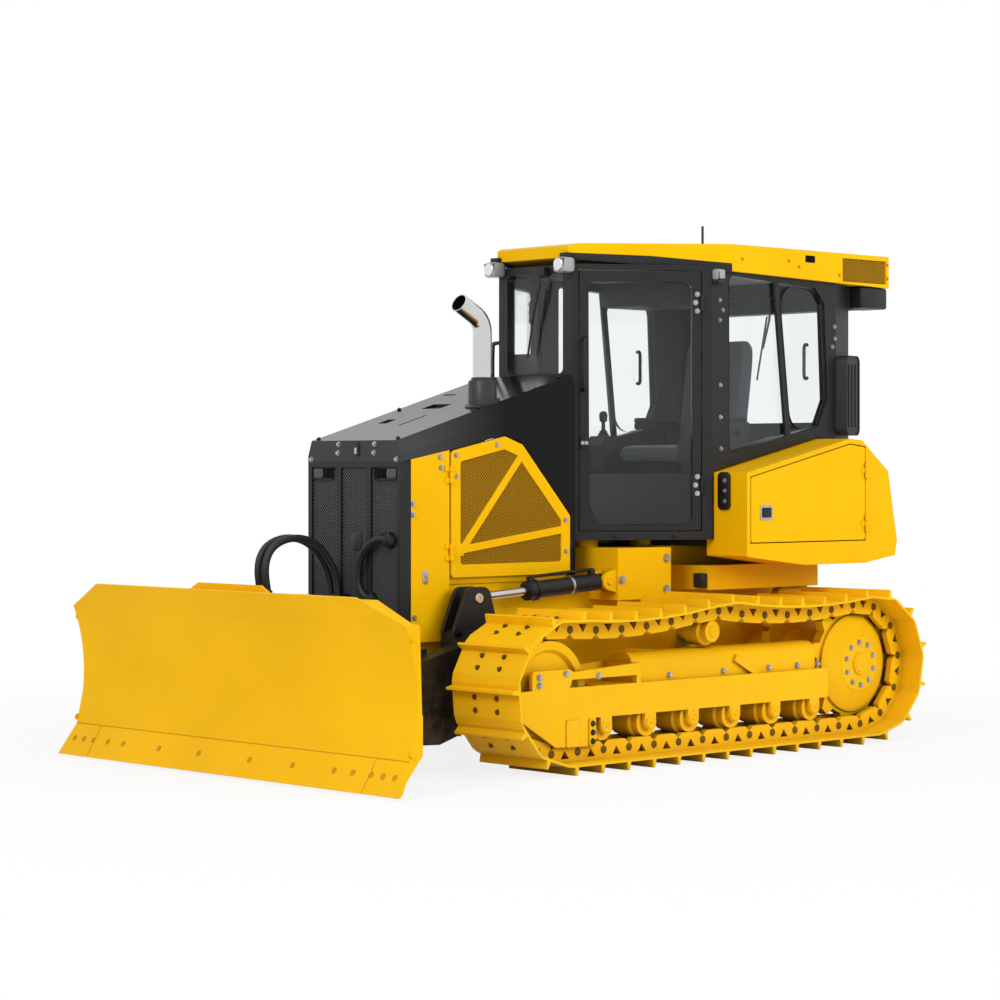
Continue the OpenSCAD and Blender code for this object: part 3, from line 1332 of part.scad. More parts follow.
// Direction of the hose at a point of its line
function hose_way(i) =
  unit(hose_line[min(i + 1, len(hose_line) - 1)] - hose_line[max(i - 1, 0)]);
// Ring of corners about the hose at a point of its line
function hose_ring(i) =
  let(w = hose_way(i), u = unit(cross([0, 1, 0], w)), v = cross(w, u))
  [for (k = [0:hose_n - 1]) hose_line[i] + hose_r*(u*cos(k*360/hose_n) + v*sin(k*360/hose_n))];
module hose(y) {
  last = len(hose_line) - 1;
  walls = [for (i = [0:last - 1], k = [0:hose_n - 1])
    let(a = i*hose_n + k, b = i*hose_n + (k + 1)%hose_n)
    each [[a, a + hose_n, b + hose_n], [a, b + hose_n, b]]];
  caps = [[for (k = [0:hose_n - 1]) k], [for (k = [hose_n - 1:-1:0]) last*hose_n + k]];
  translate([0, y, 0]) polyhedron([for (i = [0:last]) each hose_ring(i)], concat(walls, caps));
}
module hose_l() { color("#1a1a1a") hose(hose_y[1]); }
module hose_r() { color("#1a1a1a") hose(hose_y[0]); }

main_frame();
engine();
hood();
grille();
side_panels();
exhaust();
cab_frame();
roof();
cab_glass();
seat_base();
seat();
consoles();
roof_fittings();
air_unit();
fenders();
fuel_tank();
track_frames();
track_l();
track_r();
sprockets();
rollers();
push_frame();
blade();
cutting_edge();
swivel();
hose_l();
hose_r();
lift_barrel_l();
lift_rod_l();
lift_barrel_r();
lift_rod_r();
angle_barrel_l();
angle_rod_l();
angle_barrel_r();
angle_rod_r();
tilt_barrel();
tilt_rod();
cab_door_l();
cab_door_r();
door_glass_l();
door_glass_r();
engine_door_l();
engine_door_r();
locker_door_l();
locker_door_r();
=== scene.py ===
# %% [markdown]
# # A crawler dozer in studio light
# The solids of this machine come ready made: tracks, cab, blade and cylinders, all in metres and
# in one frame. This lesson dresses them. It gives each solid a finish, adds the small things that
# a solid model leaves out, such as bolts, mesh, lamps and seals, and sets up camera and light.

# %% Load the machine
import math
import bmesh
import bpy
from bmesh.types import BMEdge, BMVert
from mathutils import Matrix, Vector


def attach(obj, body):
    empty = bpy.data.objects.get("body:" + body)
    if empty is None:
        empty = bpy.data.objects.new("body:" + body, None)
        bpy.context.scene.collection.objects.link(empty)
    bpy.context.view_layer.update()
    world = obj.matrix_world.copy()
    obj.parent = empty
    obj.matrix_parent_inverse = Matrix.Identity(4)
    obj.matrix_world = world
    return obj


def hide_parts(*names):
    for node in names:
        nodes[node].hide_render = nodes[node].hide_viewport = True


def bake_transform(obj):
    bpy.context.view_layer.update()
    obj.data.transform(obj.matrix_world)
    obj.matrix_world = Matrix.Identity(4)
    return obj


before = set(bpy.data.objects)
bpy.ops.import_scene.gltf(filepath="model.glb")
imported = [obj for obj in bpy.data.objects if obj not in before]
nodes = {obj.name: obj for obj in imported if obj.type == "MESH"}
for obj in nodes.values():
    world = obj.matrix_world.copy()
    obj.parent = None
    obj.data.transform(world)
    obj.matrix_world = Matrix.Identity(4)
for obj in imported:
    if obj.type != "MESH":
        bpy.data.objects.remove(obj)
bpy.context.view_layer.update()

scene = bpy.context.scene
scene.view_settings.view_transform = "Standard"

# %% [markdown]
# ## Camera
# The photograph was taken from far off with a long lens, at the height of the engine cover's
# front edge. A level camera keeps the upright posts upright, so the frame is moved by lens shift
# and the camera isn't tipped.

# %% Camera
camera_place = (10.4056, 10.8154, 1.5335)
camera_turn = 136.8
camera = bpy.data.objects.new("camera", bpy.data.cameras.new("camera"))
camera.data.lens = 98.12
camera.data.sensor_width = 36
camera.data.shift_y = -0.032
camera.data.clip_end = 200
camera.location = camera_place
camera.rotation_euler = (math.radians(90), 0, math.radians(camera_turn))
scene.collection.objects.link(camera)
scene.camera = camera
print("camera", camera_place, "lens", camera.data.lens)

# %% [markdown]
# ## Working in millimetres
# Drawings of machines are in millimetres, so every shape below is modelled in millimetres and
# scaled once, when it becomes a piece. A small shape is modelled about its own origin, closed,
# and then stamped wherever it is needed. That is much shorter than placing vertices by hand, and
# a bolt that changes is changed everywhere.

# %% Shapes and pieces
MM = 0.001
MIRROR = Matrix.Scale(-1, 4, (0, 1, 0))
SIDES = (("l", Matrix()), ("r", MIRROR))


def at(x, y, z):
    return Matrix.Translation((x, y, z))


def place(point, axis=(0, 0, 1)):
    """Puts a shape's origin at a point and its Z along an axis."""
    turn = Vector(axis).to_track_quat("Z", "Y").to_matrix().to_4x4()
    return Matrix.Translation(point) @ turn


def both_sides(matrices):
    """The places on the left of the machine and the same places on its right."""
    return [*matrices, *(MIRROR @ m for m in matrices)]


def closed(part):
    """Ends a small shape: corners merged, faces outwards, ready to be stamped."""
    bmesh.ops.remove_doubles(part, verts=part.verts, dist=0.001)
    bmesh.ops.recalc_face_normals(part, faces=part.faces)
    mesh = bpy.data.meshes.new("shape")
    part.to_mesh(mesh)
    part.free()
    return mesh


def stamp(bm, mesh, matrices):
    """Adds a copy of a shape at each place."""
    for matrix in matrices:
        first = len(bm.verts)
        bm.from_mesh(mesh)
        bm.verts.ensure_lookup_table()
        bmesh.ops.transform(bm, matrix=matrix, verts=bm.verts[first:])


def piece(name, bm, finish, body, sharp=35):
    """Makes an object of a bmesh in millimetres and lets it ride on a body of the machine."""
    bmesh.ops.recalc_face_normals(bm, faces=bm.faces)
    bmesh.ops.scale(bm, vec=(MM, MM, MM), verts=bm.verts)
    mesh = bpy.data.meshes.new(name)
    bm.to_mesh(mesh)
    bm.free()
    mesh.materials.append(finish)
    mesh.shade_smooth()
    mesh.set_sharp_from_angle(angle=math.radians(sharp))
    obj = bpy.data.objects.new(name, mesh)
    scene.collection.objects.link(obj)
    if body:
        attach(obj, body)
    print(f"{name}: {len(mesh.polygons)} faces on {body}")
    return obj


# %% [markdown]
# Most small parts are turned on a lathe, cut from plate or cast as a block. A function for each keeps
# the shapes below short.

# %% Bolts, turned parts, blocks and plates


def hex_bolt(size):
    """Hexagon head of a width across corners, on its washer."""
    part = bmesh.new()
    bmesh.ops.create_cone(part, cap_ends=True, segments=12, radius1=0.72*size, radius2=0.72*size,
                          depth=0.14*size, matrix=Matrix.Translation((0, 0, 0.07*size)))
    bmesh.ops.create_cone(part, cap_ends=True, segments=6, radius1=0.55*size, radius2=0.48*size,
                          depth=0.46*size, matrix=Matrix.Translation((0, 0, 0.37*size)))
    return closed(part)


def turned(profile, steps=24):
    """A turned shape from pairs of radius and height."""
    part = bmesh.new()
    verts = [part.verts.new((r, 0, h)) for r, h in profile]
    edges = [part.edges.new(pair) for pair in zip(verts, verts[1:])]
    bmesh.ops.spin(part, geom=verts + edges, cent=(0, 0, 0), axis=(0, 0, 1), angle=2*math.pi,
                   steps=steps, use_merge=True)
    return closed(part)


def soften(part, width):
    """Rounds all edges of a shape."""
    bmesh.ops.bevel(part, geom=part.edges[:], offset=width, segments=2, profile=0.5,
                    affect="EDGES", material=-1)


def block(x, y, z, edge=3):
    """A box with rounded edges about its middle."""
    part = bmesh.new()
    bmesh.ops.create_cube(part, size=1)
    bmesh.ops.scale(part, vec=(x, y, z), verts=part.verts)
    soften(part, edge)
    return closed(part)


def of_kind(geom, kind):
    return [g for g in geom if isinstance(g, kind)]


def flat(outline):
    """One face with an outline in the XY plane."""
    part = bmesh.new()
    return part, part.faces.new([part.verts.new((x, y, 0)) for x, y in outline])


def raised(part, faces, depth):
    """Draws flat faces up to a height."""
    grown = bmesh.ops.extrude_face_region(part, geom=faces)["geom"]
    bmesh.ops.translate(part, vec=(0, 0, depth), verts=of_kind(grown, BMVert))


def plate(outline, depth, edge=2):
    """A plate cut to an outline in its XY plane, from there upwards."""
    part, face = flat(outline)
    raised(part, [face], depth)
    if edge:
        soften(part, edge)
    return closed(part)


# %% [markdown]
# Hoses, handles and oil lines are bent from tube. A ring of edges is drawn along the tube's line, and each
# step turns it into the line's new direction, which is how a bent tube keeps its round section.

# %% Lines and pipes


def vectors(*points):
    return [Vector(p) for p in points]


def ring_frames(points):
    """At each point of a line, a frame whose Z runs along the line."""
    frames = []
    side = Vector((0, 1, 0))
    for i, point in enumerate(points):
        way = (points[min(i + 1, len(points) - 1)] - points[max(i - 1, 0)]).normalized()
        if abs(way.dot(side)) > 0.95:
            side = Vector((1, 0, 0))
        u = side.cross(way).normalized()
        turn = Matrix((u, way.cross(u), way)).transposed().to_4x4()
        frames.append(Matrix.Translation(point) @ turn)
    return frames


def drawn(points, radius, sides, capped):
    """A ring of edges drawn out along a line. Gives the shape and its last edges."""
    part = bmesh.new()
    frames = ring_frames(points)
    start = bmesh.ops.create_circle(part, cap_ends=capped, segments=sides, radius=radius, matrix=frames[0])
    rim = list({e for v in start["verts"] for e in v.link_edges})
    for last, here in zip(frames, frames[1:]):
        grown = bmesh.ops.extrude_edge_only(part, edges=rim)["geom"]
        rim = of_kind(grown, BMEdge)
        bmesh.ops.transform(part, matrix=here @ last.inverted(), verts=of_kind(grown, BMVert))
    return part, rim


def pipe(points, radius, sides=12):
    """A round pipe along a line, closed at both ends."""
    part, rim = drawn(points, radius, sides, True)
    bmesh.ops.edgeloop_fill(part, edges=rim)
    return closed(part)


def eased(points, steps=4):
    """A smooth line through given points."""
    line = []
    for i in range(len(points) - 1):
        a, b, c, d = (points[max(0, min(len(points) - 1, i + k))] for k in (-1, 0, 1, 2))
        for s in range(steps):
            t = s/steps
            line.append(0.5*(2*b + (c - a)*t + (2*a - 5*b + 4*c - d)*t*t + (3*b - a - 3*c + d)*t**3))
    return [*line, points[-1]]


# %% [markdown]
# ## Finishes
# A new machine is mostly paint. Paint isn't one flat colour: it has a slight drift in tone, a
# fine orange peel that breaks up reflections, and dust low down. Each of these is a node group
# with named inputs, built once and shared by all paints. The edge group compares the true normal
# with one rounded over a few millimetres. Where the two differ there is an edge, which is then
# rounded in the shading and given a paler tone in the colour, a painted highlight.

# %% Helpers for node trees


def linear(code):
    """A colour written as on the web, as the linear values that shaders use."""
    values = [int(code[i:i + 2], 16)/255 for i in (1, 3, 5)]
    return [*(v/12.92 if v < 0.04045 else ((v + 0.055)/1.055)**2.4 for v in values), 1]


def node(tree, kind, inputs=None, **settings):
    made = tree.nodes.new("ShaderNode" + kind)
    for name, value in settings.items():
        setattr(made, name, value)
    for name, value in (inputs or {}).items():
        made.inputs[name].default_value = value
    return made


def wire(tree, *links):
    for source, way_out, target, way_in in links:
        tree.links.new(source.outputs[way_out], target.inputs[way_in])


def group(name, inputs, outputs):
    """An empty node group with its sockets, and its two end nodes."""
    tree = bpy.data.node_groups.new(name, "ShaderNodeTree")
    for socket, kind, value in inputs:
        tree.interface.new_socket(socket, in_out="INPUT", socket_type=kind).default_value = value
    for socket, kind in outputs:
        tree.interface.new_socket(socket, in_out="OUTPUT", socket_type=kind)
    return tree, tree.nodes.new("NodeGroupInput"), tree.nodes.new("NodeGroupOutput")


def use(tree, name, values):
    """Places a group in a material with its own values."""
    made = tree.nodes.new("ShaderNodeGroup")
    made.node_tree = bpy.data.node_groups[name]
    for socket, value in values.items():
        made.inputs[socket].default_value = value
    return made


COLOUR, NUMBER, VECTOR = "NodeSocketColor", "NodeSocketFloat", "NodeSocketVector"

# %% [markdown]
# The first group is the paint's skin. Broad noise drifts the tone, and dust settles below a height.

# %% Group: tone, dust and orange peel of a paint
tree, given, result = group(
    "paint_skin",
    [("Paint", COLOUR, (1, 1, 1, 1)), ("Shade", COLOUR, (0.8, 0.78, 0.75, 1)),
     ("Dust", COLOUR, linear("#B9A88C")), ("Dust height", NUMBER, 0.6), ("Dust share", NUMBER, 0.3),
     ("Roughness", NUMBER, 0.35)],
    [("Color", COLOUR), ("Roughness", NUMBER), ("Height", NUMBER)])
where = node(tree, "TexCoord")
broad = node(tree, "TexNoise", {"Scale": 1.6, "Detail": 3.0})
fine = node(tree, "TexNoise", {"Scale": 17.0, "Detail": 6.0, "Roughness": 0.6})
peel = node(tree, "TexNoise", {"Scale": 380.0, "Detail": 2.0})
drift = node(tree, "MapRange", {"From Min": 0.35, "From Max": 0.7, "To Max": 0.45})
shaded = node(tree, "Mix", data_type="RGBA", blend_type="MULTIPLY")
split = node(tree, "SeparateXYZ")
low = node(tree, "MapRange", {"To Min": 1.0, "To Max": 0.0})
speck = node(tree, "MapRange", {"From Min": 0.42, "From Max": 0.72})
dusty = node(tree, "Math", operation="MULTIPLY")
share = node(tree, "Math", operation="MULTIPLY")
coloured = node(tree, "Mix", data_type="RGBA")
rough_dust = node(tree, "Math", {1: 0.35}, operation="MULTIPLY_ADD")
rough_fine = node(tree, "Math", {1: 0.1}, operation="MULTIPLY_ADD")
for texture in (broad, fine, peel):
    wire(tree, (where, "Object", texture, "Vector"))
wire(tree,
     (broad, "Fac", drift, "Value"), (drift, "Result", shaded, "Factor"),
     (given, "Paint", shaded, "A"), (given, "Shade", shaded, "B"),
     (where, "Object", split, 0), (split, "Z", low, "Value"),
     (given, "Dust height", low, "From Max"),
     (fine, "Fac", speck, "Value"), (speck, "Result", dusty, 0),
     (low, "Result", dusty, 1), (dusty, 0, share, 0),
     (given, "Dust share", share, 1), (share, 0, coloured, "Factor"),
     (shaded, "Result", coloured, "A"), (given, "Dust", coloured, "B"),
     (share, 0, rough_dust, 0), (given, "Roughness", rough_dust, 2),
     (fine, "Fac", rough_fine, 0), (rough_dust, 0, rough_fine, 2),
     (coloured, "Result", result, "Color"),
     (rough_fine, 0, result, "Roughness"), (peel, "Fac", result, "Height"))

# %% [markdown]
# The second group rounds the edges and gives them a paler tone, a painted highlight, and darkens the
# hollows, where little light gets in, with painted shade.

# %% Group: rounded edges with a painted highlight, and painted shade in the hollows
tree, given, result = group(
    "painted_edge_highlight_and_hollow_shade",
    [("Color", COLOUR, (1, 1, 1, 1)), ("Edge highlight", COLOUR, (1, 1, 1, 1)), ("Radius", NUMBER, 0.004),
     ("Amount", NUMBER, 0.5), ("Painted shade", COLOUR, linear("#2A1C06")), ("Painted shade share", NUMBER, 0.4)],
    [("Color", COLOUR), ("Normal", VECTOR)])
where = node(tree, "TexCoord")
# Painted highlight: where the rounded normal leaves the true one, the colour turns, in patches, to a paler
# tone.
round_edge = node(tree, "Bevel", samples=4)
true_face = node(tree, "NewGeometry")
same = node(tree, "VectorMath", operation="DOT_PRODUCT")
edge = node(tree, "MapRange", {"From Min": 0.995, "From Max": 0.86})
patches = node(tree, "TexNoise", {"Scale": 24.0, "Detail": 5.0})
patchy = node(tree, "MapRange", {"From Min": 0.4, "From Max": 0.62})
highlight_patches = node(tree, "Math", operation="MULTIPLY")
part = node(tree, "Math", operation="MULTIPLY")
coloured = node(tree, "Mix", data_type="RGBA")
# Painted shade: where ambient occlusion finds a hollow, the colour turns to a dark brown.
hollow = node(tree, "AmbientOcclusion", {"Distance": 0.16}, samples=6)
deep = node(tree, "MapRange", {"From Min": 0.6, "From Max": 0.15})
painted_shade = node(tree, "Math", operation="MULTIPLY")
shade_mixed_in = node(tree, "Mix", data_type="RGBA")
wire(tree,
     (given, "Radius", round_edge, "Radius"),
     (round_edge, 0, same, 0), (true_face, "Normal", same, 1),
     (same, "Value", edge, "Value"), (where, "Object", patches, "Vector"),
     (patches, "Fac", patchy, "Value"), (edge, "Result", highlight_patches, 0),
     (patchy, "Result", highlight_patches, 1), (highlight_patches, 0, part, 0),
     (given, "Amount", part, 1), (part, 0, coloured, "Factor"),
     (given, "Color", coloured, "A"), (given, "Edge highlight", coloured, "B"),
     (hollow, "AO", deep, "Value"), (deep, "Result", painted_shade, 0),
     (given, "Painted shade share", painted_shade, 1), (painted_shade, 0, shade_mixed_in, "Factor"),
     (coloured, "Result", shade_mixed_in, "A"), (given, "Painted shade", shade_mixed_in, "B"),
     (shade_mixed_in, "Result", result, "Color"), (round_edge, 0, result, "Normal"))

# %% [markdown]
# The third group is a grain of small cells, for all that is moulded or woven.

# %% Group: grain of moulded plastic, rubber and cloth
tree, given, result = group(
    "grain",
    [("Tone", COLOUR, (1, 1, 1, 1)), ("Tone 2", COLOUR, (1, 1, 1, 1)), ("Size", NUMBER, 300.0),
     ("Roughness", NUMBER, 0.6)],
    [("Color", COLOUR), ("Roughness", NUMBER), ("Height", NUMBER)])
where = node(tree, "TexCoord")
cells = node(tree, "TexVoronoi")
cloudy = node(tree, "TexNoise", {"Scale": 6.0, "Detail": 5.0})
mixed = node(tree, "Mix", data_type="RGBA")
rough = node(tree, "Math", {1: 0.2}, operation="MULTIPLY_ADD")
wire(tree,
     (where, "Object", cells, "Vector"), (where, "Object", cloudy, "Vector"),
     (given, "Size", cells, "Scale"), (cloudy, "Fac", mixed, "Factor"),
     (given, "Tone", mixed, "A"), (given, "Tone 2", mixed, "B"),
     (cloudy, "Fac", rough, 0), (given, "Roughness", rough, 2),
     (mixed, "Result", result, "Color"), (rough, 0, result, "Roughness"),
     (cells, "Distance", result, "Height"))
print([g.name for g in bpy.data.node_groups])

# %% [markdown]
# With the groups in place a paint is a short function. The clear coat gives the hard, bright
# highlight of baked enamel over the softer one of the pigment. Its weight is the same all over,
# so it is set on the shader itself.

# %% Paints


def new_finish(name):
    finish = bpy.data.materials.new(name)
    finish.use_nodes = True
    return finish, finish.node_tree, finish.node_tree.nodes["Principled BSDF"]


def painted(name, paint, edge_highlight, roughness=0.4, coat=0.0, gloss=0.2, dust=0.1, edge=0.45, radius=0.004,
            painted_shade=0.25, coat_rough=0.12, coat_ior=1.5):
    finish, tree, shader = new_finish(name)
    skin = use(tree, "paint_skin", {"Paint": linear(paint), "Roughness": roughness, "Dust share": dust})
    # Painted highlight at the edges and painted shade in the hollows are mixed into the colour here.
    edge_light_and_shade = use(tree, "painted_edge_highlight_and_hollow_shade",
                 {"Edge highlight": linear(edge_highlight), "Radius": radius, "Amount": edge, "Painted shade share": painted_shade})
    bump = node(tree, "Bump", {"Strength": 0.05, "Distance": 0.0006})
    shader.inputs["Coat Weight"].default_value = coat
    shader.inputs["Coat Roughness"].default_value = coat_rough
    shader.inputs["Coat IOR"].default_value = coat_ior
    shader.inputs["Specular IOR Level"].default_value = gloss
    wire(tree,
         (skin, "Color", edge_light_and_shade, "Color"), (edge_light_and_shade, "Color", shader, "Base Color"),
         (skin, "Roughness", shader, "Roughness"), (skin, "Height", bump, "Height"),
         (edge_light_and_shade, "Normal", bump, "Normal"), (bump, 0, shader, "Normal"))
    return finish


# The second colour of each paint is its painted edge highlight; the share of painted shade in its hollows
# is set per paint.
yellow = painted("yellow_enamel", "#F9C004", "#FFD650", coat=0.03, gloss=0.06, dust=0.06)
track_yellow = painted("track_enamel", "#FBC40E", "#FFD95A", roughness=0.5, gloss=0.12, painted_shade=0.6)
charcoal = painted("charcoal_enamel", "#2A2B2D", "#5A5B5C", coat=0.1, gloss=0.35)
hood_charcoal = painted("hood_enamel", "#2A2B2D", "#5A5B5C", coat=0.8, gloss=0.02, dust=0,
                        coat_rough=0.14, coat_ior=1.25)
cab_charcoal = painted("cab_enamel", "#1C1D1E", "#4A4B4C", gloss=0.35)
black = painted("black_enamel", "#121213", "#3A3A3A", gloss=0.4, dust=0.2)
small_part = dict(radius=0.001, painted_shade=0)
mesh_gold = painted("mesh_enamel", "#A67A10", "#C0962A", roughness=0.5, gloss=0.1, **small_part)
iron = painted("cast_iron", "#2C2C2C", "#606060", roughness=0.6)
# A darker copy of the yellow: painted shade, for bolt heads and seams that sit in small recesses and gaps.
shadow_yellow = painted("shaded_enamel", "#CA9400", "#DAA400", roughness=0.5, gloss=0.1, **small_part)
# A dark iron for the shoe bolts and pins; on the bushings it stands for painted shade in the link gaps.
pin_iron_and_gap_shade = painted("pin_iron_and_gap_shade", "#6A4E0C", "#8A6A20", roughness=0.5, radius=0.001, painted_shade=0.6)
mesh_dark = painted("dark_mesh", "#4A4B4F", "#6A6B6E", gloss=0.4, **small_part)
# This black is also used for flat plates of painted shadow, in the grille's lamp pods.
black_core_and_painted_shadow = painted("radiator_black_and_painted_shadow", "#080809", "#181818", roughness=0.7, gloss=0.1, **small_part)
lamp_pale = painted("lamp_shell", "#9FA1A4", "#C4C5C6", roughness=0.25, coat=0.4, gloss=0.5, radius=0.003,
                    painted_shade=0)

# %% [markdown]
# The hood is lighter at its nose and nearly black beside the cab. A ramp along the machine is mixed
# into its paint, and a thick clear coat lets its flat top mirror the bright studio.

# %% Hood paint
tree = hood_charcoal.node_tree
where = node(tree, "TexCoord")
split = node(tree, "SeparateXYZ")
along = node(tree, "MapRange", {"From Min": 0.55, "From Max": 1.15})
ramp = node(tree, "Mix", {"A": linear("#060607"), "B": linear("#3E3F42")}, data_type="RGBA")
skin = next(n for n in tree.nodes if n.type == "GROUP" and n.node_tree.name == "paint_skin")
wire(tree,
     (where, "Object", split, 0), (split, "X", along, "Value"),
     (along, "Result", ramp, "Factor"), (ramp, "Result", skin, "Paint"))

# %% [markdown]
# Plated rods, zinc bolts, seals and the seat come unpainted. Metal takes its colour from what it
# mirrors, and the rest from its grain.

# %% Metals, plastics, rubber and cloth


def metal(name, tone, roughness):
    """Bright metal whose gloss wanders a little, as a polished tube's does."""
    finish, tree, shader = new_finish(name)
    grain = use(tree, "grain",
                {"Tone": linear(tone), "Tone 2": linear("#D9DADB"), "Roughness": roughness})
    shader.inputs["Metallic"].default_value = 1.0
    wire(tree, (grain, "Color", shader, "Base Color"), (grain, "Roughness", shader, "Roughness"))
    return finish


def grained(name, tone, tone2, size, roughness, depth, sheen=0.0, gloss=0.5):
    """A surface with a moulded or woven grain."""
    finish, tree, shader = new_finish(name)
    grain = use(tree, "grain",
                {"Tone": linear(tone), "Tone 2": linear(tone2), "Size": size, "Roughness": roughness})
    bump = node(tree, "Bump", {"Strength": 0.35, "Distance": depth})
    shader.inputs["Sheen Weight"].default_value = sheen
    shader.inputs["Specular IOR Level"].default_value = gloss
    wire(tree,
         (grain, "Color", shader, "Base Color"),
         (grain, "Roughness", shader, "Roughness"),
         (grain, "Height", bump, "Height"), (bump, 0, shader, "Normal"))
    return finish


chrome = metal("chrome", "#C4C6C8", 0.03)
rod_chrome = metal("hard_chrome", "#B8BABC", 0.08)
zinc = metal("zinc_bolts", "#8E8F90", 0.3)
brass = metal("brass_pins", "#C8A25A", 0.25)
lamp_glass = metal("lamp_reflector", "#E8E9EA", 0.12)
plastic = grained("moulded_plastic", "#1B1C1D", "#26272A", 900, 0.5, 0.0006)
rubber = grained("black_rubber", "#121213", "#1C1C1D", 1400, 0.45, 0.0004)
cloth = grained("seat_cloth", "#55575B", "#696B70", 420, 0.8, 0.0008, sheen=0.25, gloss=0.2)
lining = grained("roof_lining", "#A9AAAC", "#B6B7B9", 500, 0.9, 0.0006, gloss=0.0)

# %% Glass
glass, tree, shader = new_finish("clear_glass")
smear = node(tree, "TexNoise", {"Scale": 3.0, "Detail": 4.0})
haze = node(tree, "MapRange", {"From Min": 0.45, "From Max": 0.8, "To Max": 0.05})
where = node(tree, "TexCoord")
shader.inputs["Base Color"].default_value = linear("#F7FAFA")
shader.inputs["Transmission Weight"].default_value = 1.0
shader.inputs["IOR"].default_value = 1.3
wire(tree,
     (where, "Object", smear, "Vector"), (smear, "Fac", haze, "Value"),
     (haze, "Result", shader, "Roughness"))

# %% [markdown]
# Traced glass stops the light that should fall into the cab. For shadows and for soft light the pane is
# therefore plain transparent.

# %% Light through the panes
ray = node(tree, "LightPath")
passing = node(tree, "Math", operation="MAXIMUM")
clear = node(tree, "BsdfTransparent", {"Color": linear("#E6EAEA")})
blend = node(tree, "MixShader")
wire(tree,
     (ray, "Is Shadow Ray", passing, 0), (ray, "Is Diffuse Ray", passing, 1),
     (passing, 0, blend, 0), (shader, 0, blend, 1),
     (clear, 0, blend, 2), (blend, 0, tree.nodes["Material Output"], "Surface"))

# %% [markdown]
# Each solid now gets its finish. The tables below are read as on a paint shop's list: the finish
# and the solids that come out of that booth.

# %% Paint list
pairs = ("lift_{}_l", "lift_{}_r", "angle_{}_l", "angle_{}_r")
paint_list = {
    yellow: ["main_frame", "side_panels", "roof", "fenders", "engine_door_l", "engine_door_r", "blade",
             "cutting_edge", "locker_door_l", "locker_door_r"],
    track_yellow: ["track_l", "track_r", "track_frames", "sprockets", "rollers"],
    charcoal: ["fuel_tank"],
    hood_charcoal: ["hood"],
    cab_charcoal: ["cab_frame", "cab_door_l", "cab_door_r"],
    black: ["grille", "push_frame", "swivel", "tilt_barrel", *(c.format("barrel") for c in pairs)],
    rod_chrome: ["tilt_rod", *(c.format("rod") for c in pairs)],
    iron: ["engine"],
    chrome: ["exhaust"],
    plastic: ["seat_base", "consoles", "roof_fittings", "air_unit"],
    glass: ["cab_glass", "door_glass_l", "door_glass_r"],
    rubber: ["hose_l", "hose_r"],
    cloth: ["seat"],
}
for finish, names in paint_list.items():
    for name in names:
        nodes[name].data.materials.clear()
        nodes[name].data.materials.append(finish)
print(sum(map(len, paint_list.values())), "of", len(nodes), "solids have their finish")

# %% [markdown]
# The pieces added below each take one of these finishes.

# %% [markdown]
# ## Hoses
# Two hoses bring oil to the blade. They rise from a block on the push frame, arch over and run
# down to a block on the grille, with enough spare length for the frame to lift. Their lines are
# the same points as in the solid model. A tube drawn ring by ring along an eased line is smooth.

# %% Hoses
hose_radius = 19
hose_places = {"hose_l": -85, "hose_r": -145}
hose_line = [
    (1740, 0, 560), (1740, 0, 640), (1748, 0, 720), (1762, 0, 800), (1782, 0, 880), (1800, 0, 950),
    (1812, 0, 1010), (1806, 0, 1075), (1775, 0, 1125), (1725, 0, 1158), (1660, -3, 1176),
    (1590, -8, 1180), (1520, -12, 1172), (1455, -14, 1148), (1402, -13, 1105), (1362, -9, 1045),
    (1335, -4, 985), (1325, 0, 940), (1325, 0, 880)]


def relaxed(points, passes):
    """A line with its bends evened out between its fixed ends."""
    for _ in range(passes):
        inner = [(a + 2*b + c)/4 for a, b, c in zip(points, points[1:], points[2:])]
        points = [points[0], *inner, points[-1]]
    return points


for name, y in hose_places.items():
    line = relaxed(eased([Vector(p) + Vector((0, y, 0)) for p in hose_line], 2), 8)
    bm = bmesh.new()
    stamp(bm, pipe(line, hose_radius, 16), [Matrix()])
    # the line starts at the push frame's block
    hose = piece("rubber_" + name, bm, rubber, None, sharp=60)
    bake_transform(hose)
    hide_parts(name)

# %% [markdown]
# ## Places on the machine's faces
# Most fittings sit on a flat side or front. An outline there is drawn as on paper, along the
# machine and upwards for a side, across and upwards for a front, and one matrix stands it up.
# The cab's doors slant, so they have a frame of their own, from the rear post to the front one.

# %% Frames of the sides, the front and the doors
SIDE = Matrix(((1, 0, 0, 0), (0, 0, 1, 0), (0, 1, 0, 0), (0, 0, 0, 1)))
FRONT = Matrix(((0, 0, 1, 0), (1, 0, 0, 0), (0, 1, 0, 0), (0, 0, 0, 1)))
LEFT = (0, 1, 0)
AHEAD = (1, 0, 0)
rear_post, front_post = Vector((-690, 700, 0)), Vector((-15, 290, 0))


def upright(a, b, origin):
    """A frame whose X runs level from a to b, its Y out and its Z up."""
    way = (b - a).normalized()
    made = Matrix((way, Vector((-way.y, way.x, 0)), (0, 0, 1))).transposed().to_4x4()
    made.translation = origin
    return made


DOOR = upright(rear_post, front_post, rear_post)


def side(y):
    return Matrix.Translation((0, y, 0)) @ SIDE


def front(x):
    return Matrix.Translation((x, 0, 0)) @ FRONT


def rounded(points, radius, steps=4):
    """An outline with round corners."""
    line = []
    for i, corner in enumerate(points):
        corner = Vector(corner)
        a = (Vector(points[i - 1]) - corner).normalized()
        b = (Vector(points[(i + 1) % len(points)]) - corner).normalized()
        half = a.angle(b)/2
        centre = corner + (a + b).normalized()*radius/math.sin(half)
        first, last = (corner + v*radius/math.tan(half) - centre for v in (a, b))
        line += [centre + first.lerp(last, s/steps).normalized()*radius for s in range(steps + 1)]
    return line


def rectangle(x0, y0, x1, y1):
    return [(x0, y0), (x1, y0), (x1, y1), (x0, y1)]


